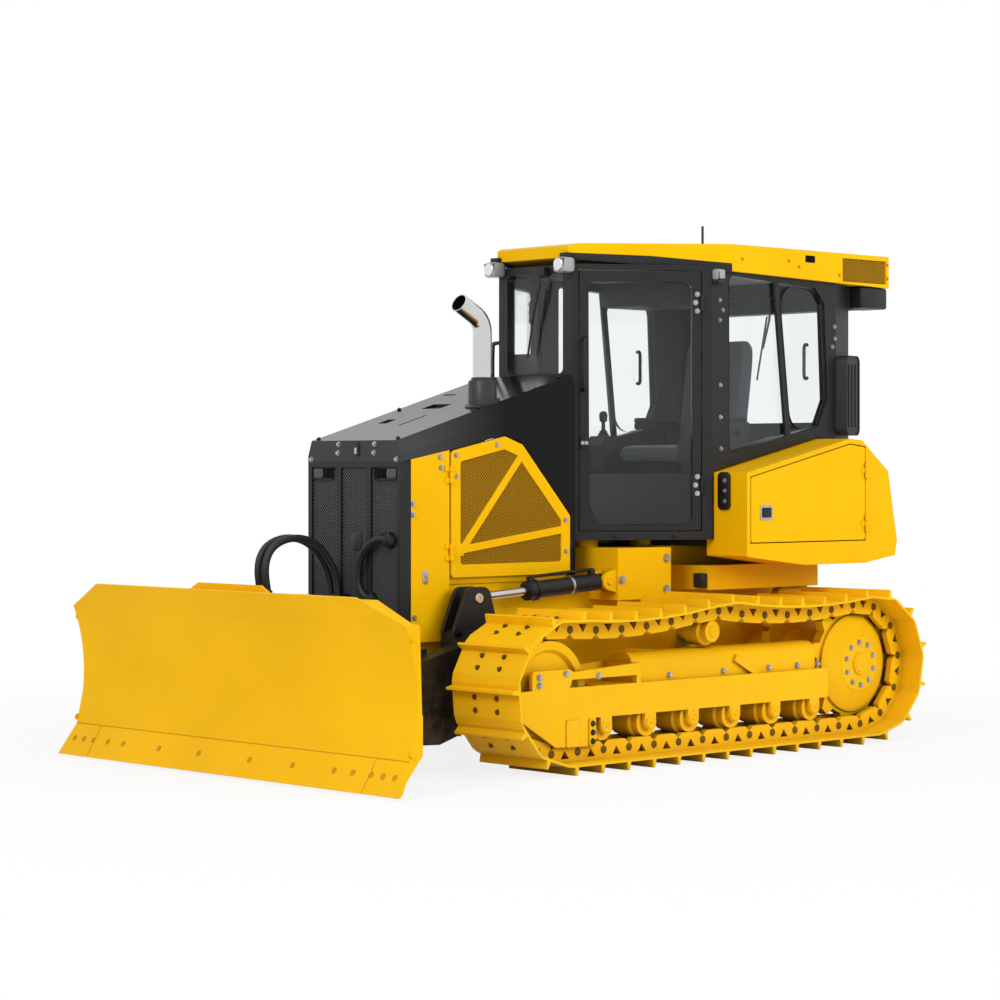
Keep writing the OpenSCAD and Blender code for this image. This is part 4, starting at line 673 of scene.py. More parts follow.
def panel(x0, y0, x1, y1, corner, depth, edge=2):
    """A rectangular plate with round corners."""
    return plate(rounded(rectangle(x0, y0, x1, y1), corner), depth, edge)


def bolted(spots, y):
    """Places on a side, from pairs of X and Z."""
    return [place((x, y, z), LEFT) for x, z in spots]


def fitted(name, shapes, finish, body="machine", sharp=35, slot=None):
    """A piece stamped from pairs of a shape and its places."""
    bm = bmesh.new()
    for mesh, matrices in shapes:
        stamp(bm, mesh, matrices)
    return piece(name, bm, finish, body, sharp)


def twin(name, shapes, finish, **more):
    """A piece whose places are mirrored to the other side."""
    return fitted(name, [(mesh, both_sides(matrices)) for mesh, matrices in shapes], finish, **more)


# %% [markdown]
# ## Tracks
# A track is a chain. Each shoe is held on two links by four bolts, and a pin and a bushing join
# the links. The chain's line is worked out as the solid model does it: along the ground, round the
# sprocket, hanging over the carrier roller and round the idler. Equal steps along it give the
# pins, and every bolt is placed from its shoe's two pins.

# %% Chain line
half_gauge, shoe_count = 941, 37
plate_n, tip_n = 57, 99
idler, sprocket, carrier = Vector((873, 413)), Vector((-1548, 435)), Vector((-322, 779))
idler_r, sprocket_r, top_sag = 314, 336, 42


def arc(centre, radius, first, last, n):
    turns = [math.radians(first + (last - first)*i/n) for i in range(n + 1)]
    return [centre + radius*Vector((math.cos(a), math.sin(a))) for a in turns]


def hung(a, b, n=10):
    return [a.lerp(b, i/n) - Vector((0, 4*top_sag*i/n*(1 - i/n))) for i in range(1, n)]


def spaced(points, count):
    """Points at equal steps along a closed line."""
    loop = [*points, points[0]]
    lengths = [(b - a).length for a, b in zip(loop, loop[1:])]
    step, marks, walked, i = sum(lengths)/count, [], 0, 0
    for k in range(count):
        while walked + lengths[i] < k*step:
            walked += lengths[i]
            i += 1
        marks.append(loop[i].lerp(loop[i + 1], (k*step - walked)/lengths[i]))
    return marks


back_lean = math.atan(4*top_sag/(carrier.x - sprocket.x))
front_lean = math.atan((4*top_sag - carrier.y + idler.y + idler_r)/(idler.x - carrier.x))
leaves = sprocket + sprocket_r*Vector((math.sin(back_lean), math.cos(back_lean)))
meets = idler + idler_r*Vector((-math.sin(front_lean), math.cos(front_lean)))
chain = [Vector((idler.x, tip_n)), *arc(sprocket, sprocket_r, 270, 90 - math.degrees(back_lean), 30),
         *hung(leaves, carrier), carrier, *hung(carrier, meets),
         *arc(idler, idler_r, 90 + math.degrees(front_lean), -84, 29)]
pins = spaced(chain, shoe_count)
print("shoe pitch", round((pins[1] - pins[0]).length, 1), "mm")

# %% [markdown]
# Each link's pin shows as a dark disc. The bushing between the links is as dark, painted shade for
# the gaps between the links. Where the sprocket's teeth sit there is no room for the bushing.

# %% Shoe bolts, pins and bushings
rail_in, rail_out = 62, 98
shoe_bolt = hex_bolt(20)
pin_end = turned([(0, 0), (20, 0), (20, 3), (16, 4.5), (0, 4.5)], 14)
bushing = turned([(0, -rail_in), (27, -rail_in), (27, rail_in), (0, rail_in)], 14)
bolt_places, pin_places, bushing_places = [], [], []
for a, b in zip(pins, pins[1:] + pins[:1]):
    along = b - a
    out = Vector((-along.y, along.x)).normalized()
    for share in (0.42, 0.78):
        spot = a + along*share + out*plate_n
        bolt_places += [place((spot.x, half_gauge + y, spot.y), (out.x, 0, out.y)) for y in (-80, 80)]
    pin_places += [place((a.x, half_gauge + s*rail_out, a.y), (0, s, 0)) for s in (-1, 1)]
    if (a - sprocket).length > sprocket_r + 5:
        bushing_places.append(place((a.x, half_gauge, a.y), LEFT))
for end, mirror in SIDES:
    fitted("track_bolts_" + end, [(shoe_bolt, [mirror @ m for m in bolt_places])], pin_iron_and_gap_shade)
    # The bushings' dark iron is painted shade in the gaps between the links.
    fitted("track_pins_" + end, [(pin_end, [mirror @ m for m in pin_places]),
                                 (bushing, [mirror @ m for m in bushing_places])], pin_iron_and_gap_shade)

# %% [markdown]
# The rollers turn on axles whose ends show as caps on the guard's lugs. The final drive's cover is
# held by a circle of bolts, and silver bolts hold the guards along the spring housing. The foot in
# front of the first roller is a folded plate with a bolted flange.

# %% Undercarriage fittings
guard_y = half_gauge + 128
roller_z = 219
roller_front, roller_rear, roller_count = 510, -1121, 6
roller_row = roller_rear - roller_front
roller_places = [roller_front + roller_row*i/(roller_count - 1) for i in range(roller_count)]
cap = turned([(0, -2), (34, -2), (34, 4), (30, 7), (22, 7), (20, 4), (9, 4), (8, 8), (0, 8)])
hub_cap = turned([(0, -2), (50, -2), (50, 3), (44, 8), (16, 8), (14, 12), (0, 12)])
twin("roller_caps", [(cap, [place((x, guard_y, roller_z), LEFT) for x in roller_places])], track_yellow)
hub_bolts = [place((sprocket.x + p.x, half_gauge + 98, sprocket.y + p.y), LEFT)
             for p in arc(Vector((0, 0)), 120, 15, 375, 10)[:-1]]
twin("drive_bolts", [(hex_bolt(24), hub_bolts)], zinc)
twin("drive_hubs", [(hub_cap, [place((sprocket.x, half_gauge + 110, sprocket.y), LEFT)])], track_yellow)
housing_y = half_gauge + 86
housing_bolts = [place((x, housing_y, 452), LEFT) for x in (1, -419, -784, -1021, -1190)]
slide_bolts = bolted(((566, 480), (800, 500), (985, 490), (985, 450)), guard_y)
twin("guard_bolts", [(hex_bolt(26), housing_bolts + slide_bolts)], zinc)
flange = panel(592, 130, 640, 262, 5, 9)
rib = panel(712, 128, 800, 264, 5, 7, 3)
twin("foot_flanges", [(flange, [side(guard_y)]), (rib, [side(guard_y)])], track_yellow)
foot_bolts = [place((617, guard_y + 9, z), LEFT) for z in (150, 195, 240)]
twin("foot_bolts", [(hex_bolt(22), foot_bolts)], black)
guard_outline = [(-1790, 300), (-1306, 300), (-1306, 620), (-1400, 861), (-1640, 861), (-1790, 640)]
drive_guard = plate(rounded(guard_outline, 50), 60, 8)
twin("drive_guards", [(drive_guard, [side(520)])], track_yellow)

# %% [markdown]
# ## Blade
# The cutting edge is a row of plates held by plough bolts, whose heads lie almost flush so that
# earth slides over them. A dark line shows where edge and moldboard meet, and where the end bits
# start. The lines are thin rods laid into the seam. Heads and lines are a darker yellow: painted shade of
# the heads' recesses and of the gap in the seam.

# %% Edge bolts and seams
seam, tip = Vector((2086, 0, 174)), Vector((2185, 0, 15))
seam_y, bit_y, end_y = 1343, 1115, 1345
edge_out = Vector((0.849, 0, 0.529))
head = turned([(0, -2), (17, -2), (17, 1), (13, 3.5), (0, 4)], 16)
row = [s*y for y in (207, 543, 857, 994, 1126, 1212, 1295) for s in (-1, 1)]
middle = seam.lerp(tip, 0.47)
edge_places = [place(middle + Vector((0, y, 0)), edge_out) for y in row]
fitted("edge_bolts", [(head, edge_places)], shadow_yellow, body="blade")
lines = [(pipe([seam + Vector((0, y, 0)) for y in (-seam_y, 0, seam_y)], 2.6, 6), [Matrix()])]
for y in (-bit_y, bit_y):
    ends = [seam.lerp(tip, t) + Vector((0, y, 0)) for t in (0.02, 0.5, 0.95)]
    lines.append((pipe(ends, 2.0, 6), [Matrix()]))
fitted("edge_seams", lines, shadow_yellow, body="blade")
end_bolts = [place((x, s*end_y, z), (0, s, 0)) for x, z in ((2075, 740), (2080, 205)) for s in (-1, 1)]
fitted("end_plate_bolts", [(hex_bolt(24), end_bolts)], yellow, body="blade")

# %% [markdown]
# ## Engine cover and grille
# Mesh keeps leaves out of the radiator and lets air through. Real mesh is woven wire. Here two
# sets of strips cross at right angles and are cut to the field's outline, over a dark core, so
# it stays mesh from close by and blends to one tone from far off.

# %% Frames and mesh


def ring(outline, width, depth):
    """A flat frame along the inside of an outline, such as a seal."""
    part, face = flat(outline)
    bmesh.ops.inset_region(part, faces=[face], thickness=width, use_even_offset=True, use_boundary=True)
    bmesh.ops.delete(part, geom=[face], context="FACES")
    raised(part, part.faces[:], depth)
    return closed(part)


def lattice(outline, pitch, strand, depth):
    """Woven mesh: two sets of strips that cross, cut to an outline given anticlockwise."""
    part = bmesh.new()
    points = [Vector((x, y, 0)) for x, y in outline]
    centre = sum(points, Vector())/len(points)
    reach = max((p - centre).length for p in points)
    count = int(reach/pitch)
    for turn, lift in ((45, 0.3), (-45, 0.7)):
        level = Matrix.Translation(centre + Vector((0, 0, lift*depth)))
        way = level @ Matrix.Rotation(math.radians(turn), 4, "Z")
        for k in range(-count, count + 1):
            strip = bmesh.ops.create_cube(part, size=1)["verts"]
            bmesh.ops.scale(part, vec=(2*reach, strand, 0.6*depth), verts=strip)
            bmesh.ops.transform(part, matrix=way @ Matrix.Translation((0, k*pitch, 0)), verts=strip)
    for a, b in zip(points, points[1:] + points[:1]):
        everything = part.verts[:] + part.edges[:] + part.faces[:]
        cut = bmesh.ops.bisect_plane(part, geom=everything, plane_co=a, clear_outer=True,
                                     plane_no=(b.y - a.y, a.x - b.x, 0))["geom_cut"]
        bmesh.ops.edgeloop_fill(part, edges=of_kind(cut, BMEdge))
    return closed(part)


# %% Grille
grille_x = 1268
field_w, field_step = 204.7, 238.7
field_y, field_low, field_high = -341, 775, 1537
field_sides = [field_y + i*field_step for i in range(3)]
fields = [rectangle(y, field_low, y + field_w, field_high) for y in field_sides]
fitted("radiator_core", [(plate(f, 2, 0), [front(grille_x)]) for f in fields], black_core_and_painted_shadow)
fitted("grille_mesh", [(lattice(f, 14, 5, 6), [front(grille_x + 6)]) for f in fields], mesh_dark)
pod = ring(rounded(rectangle(168, 1472, 340, 1540), 8), 8, 20)
lens = panel(256, 1482, 330, 1530, 8, 6)
# Painted shadow: a black plate beside the lens, where the pod's recess wall lies in shadow.
shade = plate(rectangle(178, 1482, 250, 1530), 4, 1)
twin("grille_pods", [(pod, [front(grille_x + 4)])], charcoal)
twin("grille_lenses", [(lens, [front(grille_x + 13)])], mesh_dark, slot="glass")
twin("grille_pod_painted_shadows", [(shade, [front(grille_x + 13)])], black_core_and_painted_shadow)
tag = panel(-27, 1110, 53, 1201, 6, 5)
fitted("grille_tag", [(tag, [front(grille_x + 12)])], charcoal)

# %% [markdown]
# A formed hose hangs in front of the mesh between two couplings. It is held at both ends and doesn't
# move.

# %% Hose tail and couplings in front of the grille
tail = [(1292, 288, 1165), (1306, 215, 1170), (1316, 150, 1135), (1316, 95, 1078), (1312, 66, 1008),
        (1308, 60, 940), (1300, 84, 886), (1292, 128, 858)]
tail_line = eased(vectors(*tail))
coupling = turned([(0, -10), (38, -10), (42, 0), (42, 34), (34, 40), (26, 40), (24, 52), (0, 52)])
fitted("grille_hose_tail", [(pipe(tail_line, 19, 14), [Matrix()])], rubber, sharp=60)
coupling_places = [place((1270, 290, 1165), (0.9, -0.4, 0)), place((1264, 140, 852), (0.9, -0.4, 0.2))]
coupling_bolts = [place((1290, y, z), AHEAD) for y, z in ((232, 1182), (176, 838))]
fitted("grille_couplings", [(coupling, coupling_places), (hex_bolt(30), coupling_bolts)], black)

# %% [markdown]
# The hood's nose is a bolted cap with a catch in the middle. The bolts on top follow its slope.

# %% Hood front
catch = panel(4, 1594, 50, 1668, 8, 6)
hood_x, hood_z, hood_rise = 1290, 1676, 0.2912
fitted("hood_catch", [(catch, [front(hood_x)])], black)
nose_spots = ((-118, 1657), (-124, 1612), (170, 1657), (164, 1612), (-340, 1578), (340, 1578))
hood_bolts = [place((hood_x, y, z), AHEAD) for y, z in nose_spots]
tongue = block(10, 18, 34, 4)
fitted("hood_bolts", [(hex_bolt(20), hood_bolts), (tongue, [at(1298, 27, 1622)])], zinc)
top_slope = Vector((-0.28, 0, 0.96))
top_bolts = [place((x, y, hood_z + (hood_x - x)*hood_rise), top_slope)
             for x in (1262, 700, 110) for y in (-318, 318)]
fitted("hood_top_bolts", [(hex_bolt(18), top_bolts)], black)

# %% [markdown]
# The engine doors are rims with two spokes over mesh. The mesh is cut to the rim's outline moved
# inwards, and rides on the door.

# %% Side panels and engine doors
panel_y = 371
panel_spots = [(1207, 1350), (1207, 1294), (1022, 1590), (1015, 1534), (1200, 768)]
twin("panel_bolts", [(hex_bolt(22), bolted(panel_spots, panel_y))], zinc)
paddle = panel(1107, 938, 1143, 1012, 15, 5)
pull = block(16, 8, 34, 3)
twin("panel_latches", [(paddle, [side(panel_y)]), (pull, [place((1125, panel_y + 8, 985))])], zinc)
door_corners = [(944, 1621), (562, 1700), (434, 1658), (80, 1278), (80, 966), (944, 966)]


def shrunk(points, d):
    """A convex outline, given anticlockwise, moved inwards."""
    points = vectors(*points)
    moved = []
    for a, p, b in zip(points[-1:] + points[:-1], points, points[1:] + points[:1]):
        u, v = (p - a).normalized(), (b - p).normalized()
        m = Vector((-u.y - v.y, u.x + v.x))
        moved.append(p + m*2*d/m.length_squared)
    return moved


mesh_field = shrunk(door_corners, 50)
door_mesh, door_back = lattice(mesh_field, 13, 6, 3), plate(mesh_field, 1, 0)
door_bolts = bolted([(910, 1600), (910, 1492), (118, 1255), (112, 1087), (620, 1655)], panel_y)
sill = plate(rectangle(84, 930, 946, 974), 12, 2)
twin("door_sills", [(sill, [side(329)])], yellow)
for end, mirror in SIDES:
    body = "engine_door_" + end
    fitted(body + "_backing", [(door_back, [mirror @ side(361)])], black_core_and_painted_shadow, body=body)
    fitted(body + "_mesh", [(door_mesh, [mirror @ side(362)])], mesh_gold, body=body)
    fitted(body + "_bolts", [(hex_bolt(20), [mirror @ m for m in door_bolts])], zinc, body=body)

# %% [markdown]
# The exhaust is one bent tube with a thin wall. Its line is a straight, an arc and a short straight to
# the mouth. A ring of edges is drawn along it and left open, and solidify gives it the wall, so
# the mouth is dark inside because it really is hollow.

# %% Exhaust
stack, stack_r, wall = Vector((607, 245, 1875)), 51, 5
bend, bend_r, bend_low = 62, 110, 370
mouth = 125


def tube(points, radius, wall, sides=28):
    """An open pipe along a line, with a wall."""
    part, _ = drawn(points, radius, sides, False)
    bmesh.ops.recalc_face_normals(part, faces=part.faces)
    bmesh.ops.solidify(part, geom=part.faces[:], thickness=wall)
    return closed(part)


centre = stack + Vector((bend_r, 0, bend_low))
turns = [math.radians(bend*i/10) for i in range(11)]
stack_line = [stack + Vector((0, 0, z)) for z in (60, 130, 250)]
stack_line += [centre + bend_r*Vector((-math.cos(a), 0, math.sin(a))) for a in turns]
stack_line.append(stack_line[-1] + mouth*Vector((math.sin(turns[-1]), 0, math.cos(turns[-1]))))
exhaust = fitted("exhaust_stack", [(tube(stack_line, stack_r, wall), [Matrix()])], chrome, sharp=50)
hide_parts("exhaust")
sleeve = turned([(0, -24), (76, -24), (76, 112), (70, 122), (60, 124), (60, 134), (52, 138), (52, 100),
                 (0, 100)], 32)
foot_ring = turned([(0, -6), (96, -6), (96, 6), (84, 12), (0, 12)], 32)
fitted("exhaust_sleeve", [(sleeve, [place(stack)]), (foot_ring, [place(stack, (0.28, 0, 0.96))])], charcoal)

# %% [markdown]
# ## Cylinders
# A hydraulic cylinder has a port at each end. A steel line runs along the barrel from the rear port
# to the head, held by a clamp, and a gland nut keeps the rod's seal in. One function fits any
# barrel from its pin, its direction and its size.

# %% Glands, ports and lines
barrels = {
    "lift_barrel": ((-60, 480, 925), (898, 480, 864), (0, 0, 1), 46, 573, 23),
    "angle_barrel": ((1300, 470, 650), (1960, 400, 650), (0, 0, 1), 44, 455, 22)}


def collar(inner, outer, low, high, steps):
    """A turned ring with a square section."""
    return turned([(inner, low), (outer, low), (outer, high), (inner, high), (inner, low)], steps)


def dress_barrel(body, pin, eye, up, radius, length, rod, mirror):
    pin, way, up = Vector(pin), (Vector(eye) - Vector(pin)).normalized(), Vector(up)
    hole, rim = rod + 4, radius - 2
    gland = turned([(hole, -1), (rim, -1), (rim, 2), (rod + 12, 5), (hole, 5), (hole, -1)], 20)
    head_ring = collar(radius + 1, radius + 12, 0, 16, 12)
    clamp = collar(radius + 0.5, radius + 3, -8, 8, 24)
    port = block(34, 34, 30, 4)
    rise = [(90, 0), (90, 16), (104, 24), (length - 66, 24), (length - 46, 20), (length - 38, 8)]
    line = eased([pin + way*s + up*(radius + h) for s, h in rise], 5)

    def along(s, h=0):
        return mirror @ place(pin + way*s + up*h, way)

    ports = [along(s, radius + 11) for s in (90, length - 30)]
    fitted(body + "_lines", [(pipe(line, 9, 10), [mirror]), (gland, [along(length)]),
                             (head_ring, [along(length - 64)]), (port, ports)], black, body=body)
    fitted(body + "_clamp", [(clamp, [along(length*0.45)])], zinc, body=body)


for end, mirror in SIDES:
    for name, sizes in barrels.items():
        dress_barrel(f"{name}_{end}", *sizes, mirror)
dress_barrel("tilt_barrel", (1938, -260, 850), (1938, 330, 850), (0, 0, 1), 44, 400, 23, Matrix())
pin_head = turned([(0, -2), (27, -2), (27, 5), (23, 9), (9, 9), (8, 6), (0, 6)])
twin("lever_pin_heads", [(pin_head, [place((898, 533, 864), LEFT)])], brass, body="push_frame")
twin("frame_pin_heads", [(hub_cap, [place((815, 632, 420), LEFT)])], black)

# %% [markdown]
# ## Cab
# Windows sit in rubber: each pane gets a seal along its opening. The sliding rear half of the side
# window has a heavy frame of its own. Hinge straps, bolts, catches and wipers are small, but
# they give the cab its scale.

# %% Seals
wall_y = 680
side_window = [(-830, 1612), (-1330, 1722), (-1590, 1772), (-1668, 1925), (-1640, 2480), (-1560, 2560),
               (-830, 2600)]
slider = [(-1352, 1730), (-1666, 1791), (-1631, 2550), (-1252, 2572)]
twin("side_seals", [(ring(rounded(side_window, 30), 15, 22), [side(wall_y)])], rubber)
twin("slider_frames", [(ring(rounded(slider, 115, 8), 34, 20), [side(wall_y)])], rubber)
front_window = rounded(rectangle(-220, 2050, 220, 2600), 30)
rear_window = rounded(rectangle(-520, 1800, 520, 2540), 40)
fitted("end_seals", [(ring(front_window, 16, 26), [front(-40)]),
                     (ring(rear_window, 18, 22), [front(-1927)])], rubber)
pane = rounded([(110, 1226), (638, 1226), (693, 1332), (698, 2549), (110, 2549)], 40)
door_seal = ring(pane, 14, 19)

# %% [markdown]
# The doors hang on straps and shut on catches at the rear post. All that swings is drawn in the door's
# own frame and rides on it.

# %% Door straps and grips
hinge_heights = (1440, 2440)
straps = [panel(66, z - 66, 112, z + 66, 8, 9) for z in hinge_heights]
strap_bolts = [place((86 + 10*(k == 0), 9, z + 46*k), LEFT) for z in hinge_heights for k in (-1, 0, 1)]
grip = eased(vectors((722, 0, 2235), (724, 40, 2232), (728, 52, 2205), (732, 52, 1990), (732, 40, 1962),
                     (730, 0, 1958)))
lock = panel(704, 1638, 742, 1702, 8, 12)
lock_bolts = bolted([(712, 1670), (734, 1670)], 12)
for end, mirror in SIDES:
    body, frame_to = "cab_door_" + end, mirror @ DOOR
    fitted(body + "_seal", [(door_seal, [frame_to @ side(-17)])], rubber, body=body)
    fitted(body + "_straps", [(s, [frame_to @ side(0)]) for s in (*straps, lock)], cab_charcoal, body=body)
    fitted(body + "_bolts", [(hex_bolt(20), [frame_to @ m for m in strap_bolts]),
                             (hex_bolt(15), [frame_to @ m for m in lock_bolts])], zinc, body=body)
    fitted(body + "_grip", [(pipe(grip, 11, 12), [frame_to])], black, body=body, sharp=60)

# %% [markdown]
# The posts carry the catches and the bolts that hold the cab's plates.

# %% Catches and post bolts
post_y = 700
catch_plate = panel(735, 1304, 823, 1512, 26, 14, 4)
twin("door_catches", [(catch_plate, [front(-709)])], black)
post_spots = [(-756, 1991), (-758, 1814), (-762, 1640), (-752, 2459), (-776, 2404), (-752, 2349),
              (-1730, 2346), (-1735, 2277), (-1712, 2229)]
catch_bolts = [place((-695, 790, z), AHEAD) for z in (1352, 1408, 1464)]
twin("cab_bolts", [(hex_bolt(18), bolted(post_spots, post_y) + catch_bolts)], zinc)
sill_bolts = [DOOR @ place((u, 0, 1164), LEFT) for u in (210, 545)]
twin("sill_bolts", [(hex_bolt(24), sill_bolts)], cab_charcoal)

# %% [markdown]
# A wiper is a motor box, a bent arm and a thin blade, in front and behind alike. The sliding windows
# are pulled by a bent handle.

# %% Wipers and window handles
motor = block(60, 110, 54, 12)
arms = [vectors((-2, 60, 2585), (4, 40, 2480), (2, -10, 2330)),
        vectors((-1935, 40, 2560), (-1944, 20, 2420), (-1942, -30, 2250))]
wiper_blades = [vectors((-6, 30, 2520), (-6, -10, 2330), (-6, -50, 2140)),
                vectors((-1934, 10, 2440), (-1934, -30, 2250), (-1934, -70, 2060))]
wiper_parts = [(motor, [at(-2, 60, 2606), at(-1945, 40, 2570)])]
for arm, wiper_blade in zip(arms, wiper_blades):
    wiper_parts += [(pipe(arm, 7, 8), [Matrix()]), (pipe(wiper_blade, 6, 6), [Matrix()])]
fitted("wipers", wiper_parts, black)
handle_x = -1523
hold_line = ((676, 2235), (650, 2230), (648, 2141), (650, 2052), (676, 2047))
hold = eased([Vector((handle_x, y, z)) for y, z in hold_line])
twin("slider_handles", [(pipe(hold, 10, 10), [Matrix()])], black, sharp=60)

# %% [markdown]
# The roof holds vents, grip slots and lamps. A lamp is a moulded shell with a turned lens.

# %% Roof
roof_y = 735
vent = rectangle(-2158, 2609, -1767, 2739)
twin("vent_backing", [(plate(vent, 1, 0), [side(721)])], black_core_and_painted_shadow)
twin("vent_mesh", [(lattice(vent, 13, 6, 3), [side(722)])], mesh_gold)
twin("vent_rims", [(ring(rounded(vent, 8), 12, 12), [side(722)])], yellow)
grip_slot = panel(-1520, 2700, -1436, 2740, 6, 2, 0.8)
twin("roof_slots", [(grip_slot, [side(734)])], black_core_and_painted_shadow)
roof_spots = [(-900, 2690), (-1290, 2700), (-1380, 2672), (-1735, 2640), (-2170, 2640), (-2170, 2720)]
# The roof bolts take the darker yellow too, as painted shade round their heads.
twin("roof_bolts", [(hex_bolt(14), bolted(roof_spots, roof_y))], shadow_yellow)
lamp_shell, lamp_lens = block(88, 92, 84, 18), turned([(0, 0), (34, 0), (34, 5), (28, 9), (0, 11)])
post_shell = block(62, 56, 62, 14)
twin("lamp_shells", [(lamp_shell, [at(32, 275, 2636)]), (post_shell, [at(-722, 722, 2596)])], lamp_pale)
twin("lamp_lenses", [(lamp_lens, [place((75, 275, 2636), AHEAD)])], lamp_glass)
bracket = block(40, 60, 34, 6)
twin("lamp_brackets", [(bracket, [at(20, 275, 2686)])], black)

# %% [markdown]
# The roof's slanted edge rests on a dark rail above each door. The cooling unit under the roof's rear
# overhang is as wide as the roof, and the filter case on the corner has a rim and ribs.

# %% Rails, cooling unit and filter case
rail_rear, rail_front = Vector((-816, roof_y, 0)), Vector((7, 278, 0))
RAIL = upright(rail_rear, rail_front, rail_rear)
rail_l = (rail_front - rail_rear).length
rail = plate([(0, 2612), (rail_l, 2670), (rail_l, 2704), (rail_l/2, 2694), (0, 2662)], 40, 1.5)
twin("roof_rails", [(rail, [RAIL @ side(-36)])], cab_charcoal)
unit_end = block(236, 180, 122, 12)
twin("cooling_unit_ends", [(unit_end, [at(-2061, 638, 2522)])], cab_charcoal)
corner_rear, corner_front = Vector((-1925, 645, 0)), Vector((-1745, 700, 0))
CORNER = upright(corner_rear, corner_front, (corner_rear + corner_front)/2)
case = rounded(rectangle(-97, 1721, 97, 2181), 40)
ribs = [panel(u - 7, 1770, u + 7, 2132, 6, 8, 2) for u in (-48, 0, 48)]
twin("filter_cases", [(ring(case, 18, 62), [CORNER @ side(8)]),
                      *((rib, [CORNER @ side(60)]) for rib in ribs)], plastic)

# %% [markdown]
# ## Fenders and frame
# The locker in each fender shuts with a paddle latch. A rubber stop and a few large bolts show
# on the frame below the cab. A folded corner panel closes the fender behind the locker: a plate with the
# fender's outline, cut along the slanted wall that it stands on.

# %% Fender corners
slant_x, tail_x, fender_y, slant_y = -1760, -2004, 940, 770
tail_outline = [(slant_x, 1002), (slant_x, 1637), (-1922, 1516), (tail_x, 1119), (-1985, 1033)]
corner = bmesh.new()
face = corner.faces.new([corner.verts.new((x, slant_y, z)) for x, z in tail_outline])
grown = bmesh.ops.extrude_face_region(corner, geom=[face])["geom"]
bmesh.ops.translate(corner, vec=(0, fender_y - slant_y, 0), verts=of_kind(grown, BMVert))
everything = corner.verts[:] + corner.edges[:] + corner.faces[:]
cut = bmesh.ops.bisect_plane(corner, geom=everything, clear_inner=True, plane_co=(slant_x, fender_y - 1, 0),
                             plane_no=(slant_y - fender_y, slant_x - tail_x, 0))["geom_cut"]
bmesh.ops.edgeloop_fill(corner, edges=of_kind(cut, BMEdge))
twin("fender_corners", [(closed(corner), [Matrix()])], yellow)

# %% [markdown]
# Latches ride on the locker doors, and the stop and the bolts stay on the frame.

# %% Latches, stop and frame bolts
latch = panel(-914, 1248, -815, 1331, 12, 5)
latch_pull = panel(-900, 1262, -829, 1317, 8, 10, 3)
for end, mirror in SIDES:
    body = "locker_door_" + end
    fitted(body + "_latch", [(latch, [mirror @ side(fender_y)])], zinc, body=body)
    fitted(body + "_pull", [(latch_pull, [mirror @ side(fender_y + 2)])], black, body=body)
twin("frame_stops", [(block(34, 80, 80, 8), [at(-703, 600, 913)])], rubber)
frame_bolts = bolted(((-140, 930), (-490, 870), (-490, 1040)), 545)
twin("frame_bolts", [(hex_bolt(36), frame_bolts)], zinc)

# %% [markdown]
# ## Seat
# A suspension seat has a thick cushion and a tall back, both of foam under cloth. Each is a box cut
# into small faces, whose points are moved: outwards in the middle for the crown, up along the
# sides for the bolsters, and in along two lines for the seams. Subdivision rounds what is left.

# %% Seat cushions


def pad(width, length, height, crown, cuts=11):
    """A cushion about its middle: X along its length, Y across, crowned on +Z."""
    part = bmesh.new()
    bmesh.ops.create_cube(part, size=2)
    bmesh.ops.subdivide_edges(part, edges=part.edges, cuts=cuts, use_grid_fill=True)
    for v in part.verts:
        x, y, z = v.co
        puff = (1 - x**4)*(1 - y**4)
        bolster = max(0, abs(y) - 0.6)*2.2*(1 - x**6)
        seam = math.exp(-((abs(y) - 0.58)/0.07)**2) + 0.8*math.exp(-((x - 0.25)/0.07)**2)
        pinch = 1 - 0.06*(abs(z) if abs(z) < 0.99 else 1)
        v.co = (x*length/2*pinch, y*width/2*pinch,
                z*height/2 + (crown*(puff + bolster - 0.35*seam) if z > 0.5 else 0))
    bmesh.ops.smooth_vert(part, verts=part.verts, factor=0.5, use_axis_x=True, use_axis_y=True,
                          use_axis_z=True)
    return closed(part)


cushion, back = pad(480, 500, 80, 16), pad(470, 660, 84, 16)
back_place = at(-1484, 0, 1950) @ Matrix.Rotation(math.radians(-98), 4, "Y")
cushion_place = at(-1158, 0, 1612)
bm = bmesh.new()
stamp(bm, cushion, [cushion_place])
stamp(bm, back, [back_place @ Matrix.Rotation(math.pi, 4, "Z")])
seat = piece("seat_cushions", bm, cloth, "machine", 60)
rounder = seat.modifiers.new("rounder", "SUBSURF")
rounder.levels = rounder.render_levels = 1
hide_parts("seat")

# %% [markdown]
# Armrests, joysticks, a duct and the lining fill the cab, because they show through the glass.

# %% Consoles and dash
boot = turned([(0, -2), (40, -2), (40, 4), (30, 10), (32, 16), (22, 24), (24, 30), (14, 40), (0, 40)])
console_spot = (-930, 375, 1716)
arm_pad = block(330, 56, 30, 12)
screen = block(26, 170, 120, 8)
twin("joystick_boots", [(boot, [place(console_spot)])], rubber)
twin("arm_pads", [(arm_pad, [at(-1270, 273, 1812)])], plastic)
duct = block(480, 420, 150, 24)
fitted("overhead_duct", [(duct, [at(-1400, -420, 2560)])], plastic)
half_ceiling = [(-60, 250), (-690, 625), (-1760, 625), (-1850, 560)]
ceiling = [(-60, -250), *half_ceiling, *((x, -y) for x, y in half_ceiling[:0:-1])]
lining_plate = plate(ceiling[::-1], 12, 3)
fitted("roof_lining", [(lining_plate, [at(0, 0, 2631)])], lining)
screen_turn = Matrix.Rotation(math.radians(14), 4, "Z")
fitted("dash_screen", [(screen, [at(-130, -190, 2110) @ screen_turn]),
                       (block(24, 40, 130, 6), [at(-112, -196, 1990)])], plastic)

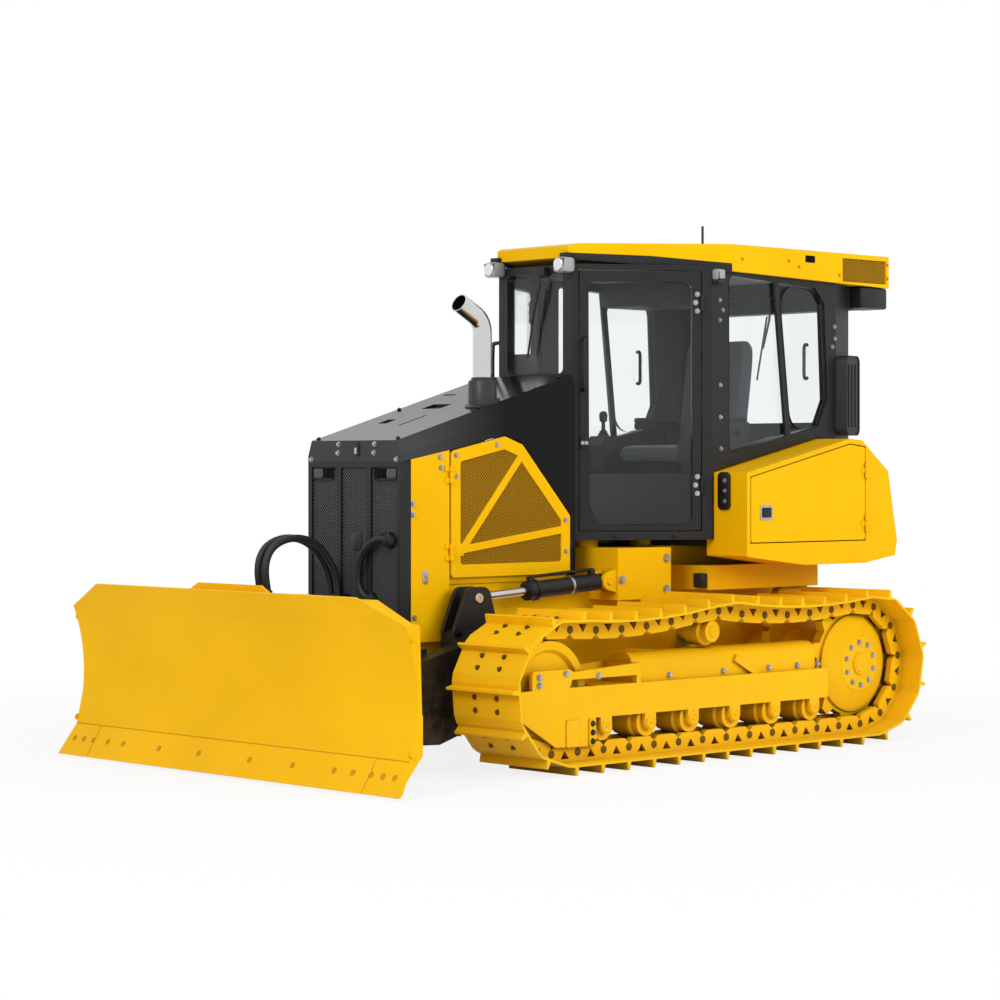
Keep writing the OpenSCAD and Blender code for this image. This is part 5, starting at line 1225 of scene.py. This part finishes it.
# %% [markdown]
# ## Floor, light and air
# The machine stands on a pale studio floor. The world is white to the camera and to reflections,
# and lights softly. Two large lamps, one high on the camera's left and one on its right,
# give the forms a bright and a darker side.

# %% Floor


def shown(tree):
    """A mask of what the camera sees directly, in a mirror or through glass."""
    ray = node(tree, "LightPath")
    seen, either = (node(tree, "Math", operation="MAXIMUM") for _ in range(2))
    wire(tree, (ray, "Is Camera Ray", seen, 0), (ray, "Is Transmission Ray", seen, 1),
         (seen, 0, either, 0), (ray, "Is Glossy Ray", either, 1))
    return either


floor_reach = 60
bm = bmesh.new()
bmesh.ops.create_grid(bm, x_segments=8, y_segments=8, size=floor_reach)
floor_mesh = bpy.data.meshes.new("studio_floor")
bm.to_mesh(floor_mesh)
bm.free()
floor = bpy.data.objects.new("studio_floor", floor_mesh)
scene.collection.objects.link(floor)
pale, tree, shader = new_finish("pale_floor")
white = node(tree, "Emission", {"Color": (1, 1, 1, 1), "Strength": 1.0})
where = node(tree, "TexCoord")
away = node(tree, "VectorMath", operation="LENGTH")
share = node(tree, "MapRange", {"From Min": 2.0, "From Max": 6.0, "To Min": 0.84, "To Max": 1.0})
part = node(tree, "Math", operation="MULTIPLY")
blend = node(tree, "MixShader")
shader.inputs["Base Color"].default_value = (0.85, 0.85, 0.85, 1)
shader.inputs["Roughness"].default_value = 0.9
shader.inputs["Specular IOR Level"].default_value = 0.0
wire(tree,
     (where, "Object", away, 0), (away, "Value", share, "Value"),
     (shown(tree), 0, part, 0), (share, "Result", part, 1), (part, 0, blend, 0),
     (shader, 0, blend, 1), (white, 0, blend, 2),
     (blend, 0, tree.nodes["Material Output"], "Surface"))
floor_mesh.materials.append(pale)

# %% [markdown]
# The world has two strengths: one to be looked at and a softer one to light with.

# %% World and lamps
world = bpy.data.worlds.new("studio")
scene.world = world
world.use_nodes = True
tree = world.node_tree
light = tree.nodes["Background"]
light.inputs["Color"].default_value = (1, 1, 1, 1)
light.inputs["Strength"].default_value = 0.62
backdrop = node(tree, "Background", {"Color": (1, 1, 1, 1), "Strength": 1.0})
blend = node(tree, "MixShader")
wire(tree, (shown(tree), 0, blend, 0), (light, 0, blend, 1), (backdrop, 0, blend, 2),
     (blend, 0, tree.nodes["World Output"], "Surface"))


def lamp(name, spot, aim, size, power, mirrored):
    made = bpy.data.objects.new(name, bpy.data.lights.new(name, "AREA"))
    made.data.shape = "DISK"
    made.data.size = size
    made.data.energy = power
    made.location = spot
    made.visible_glossy = mirrored
    made.rotation_euler = (Vector(aim) - Vector(spot)).to_track_quat("-Z", "Y").to_euler()
    scene.collection.objects.link(made)


lamp("key", (9, 3, 7), (0.5, 0, 1), 5, 395, True)
lamp("side", (-3, 11, 5), (-0.5, 0, 1), 5, 500, False)
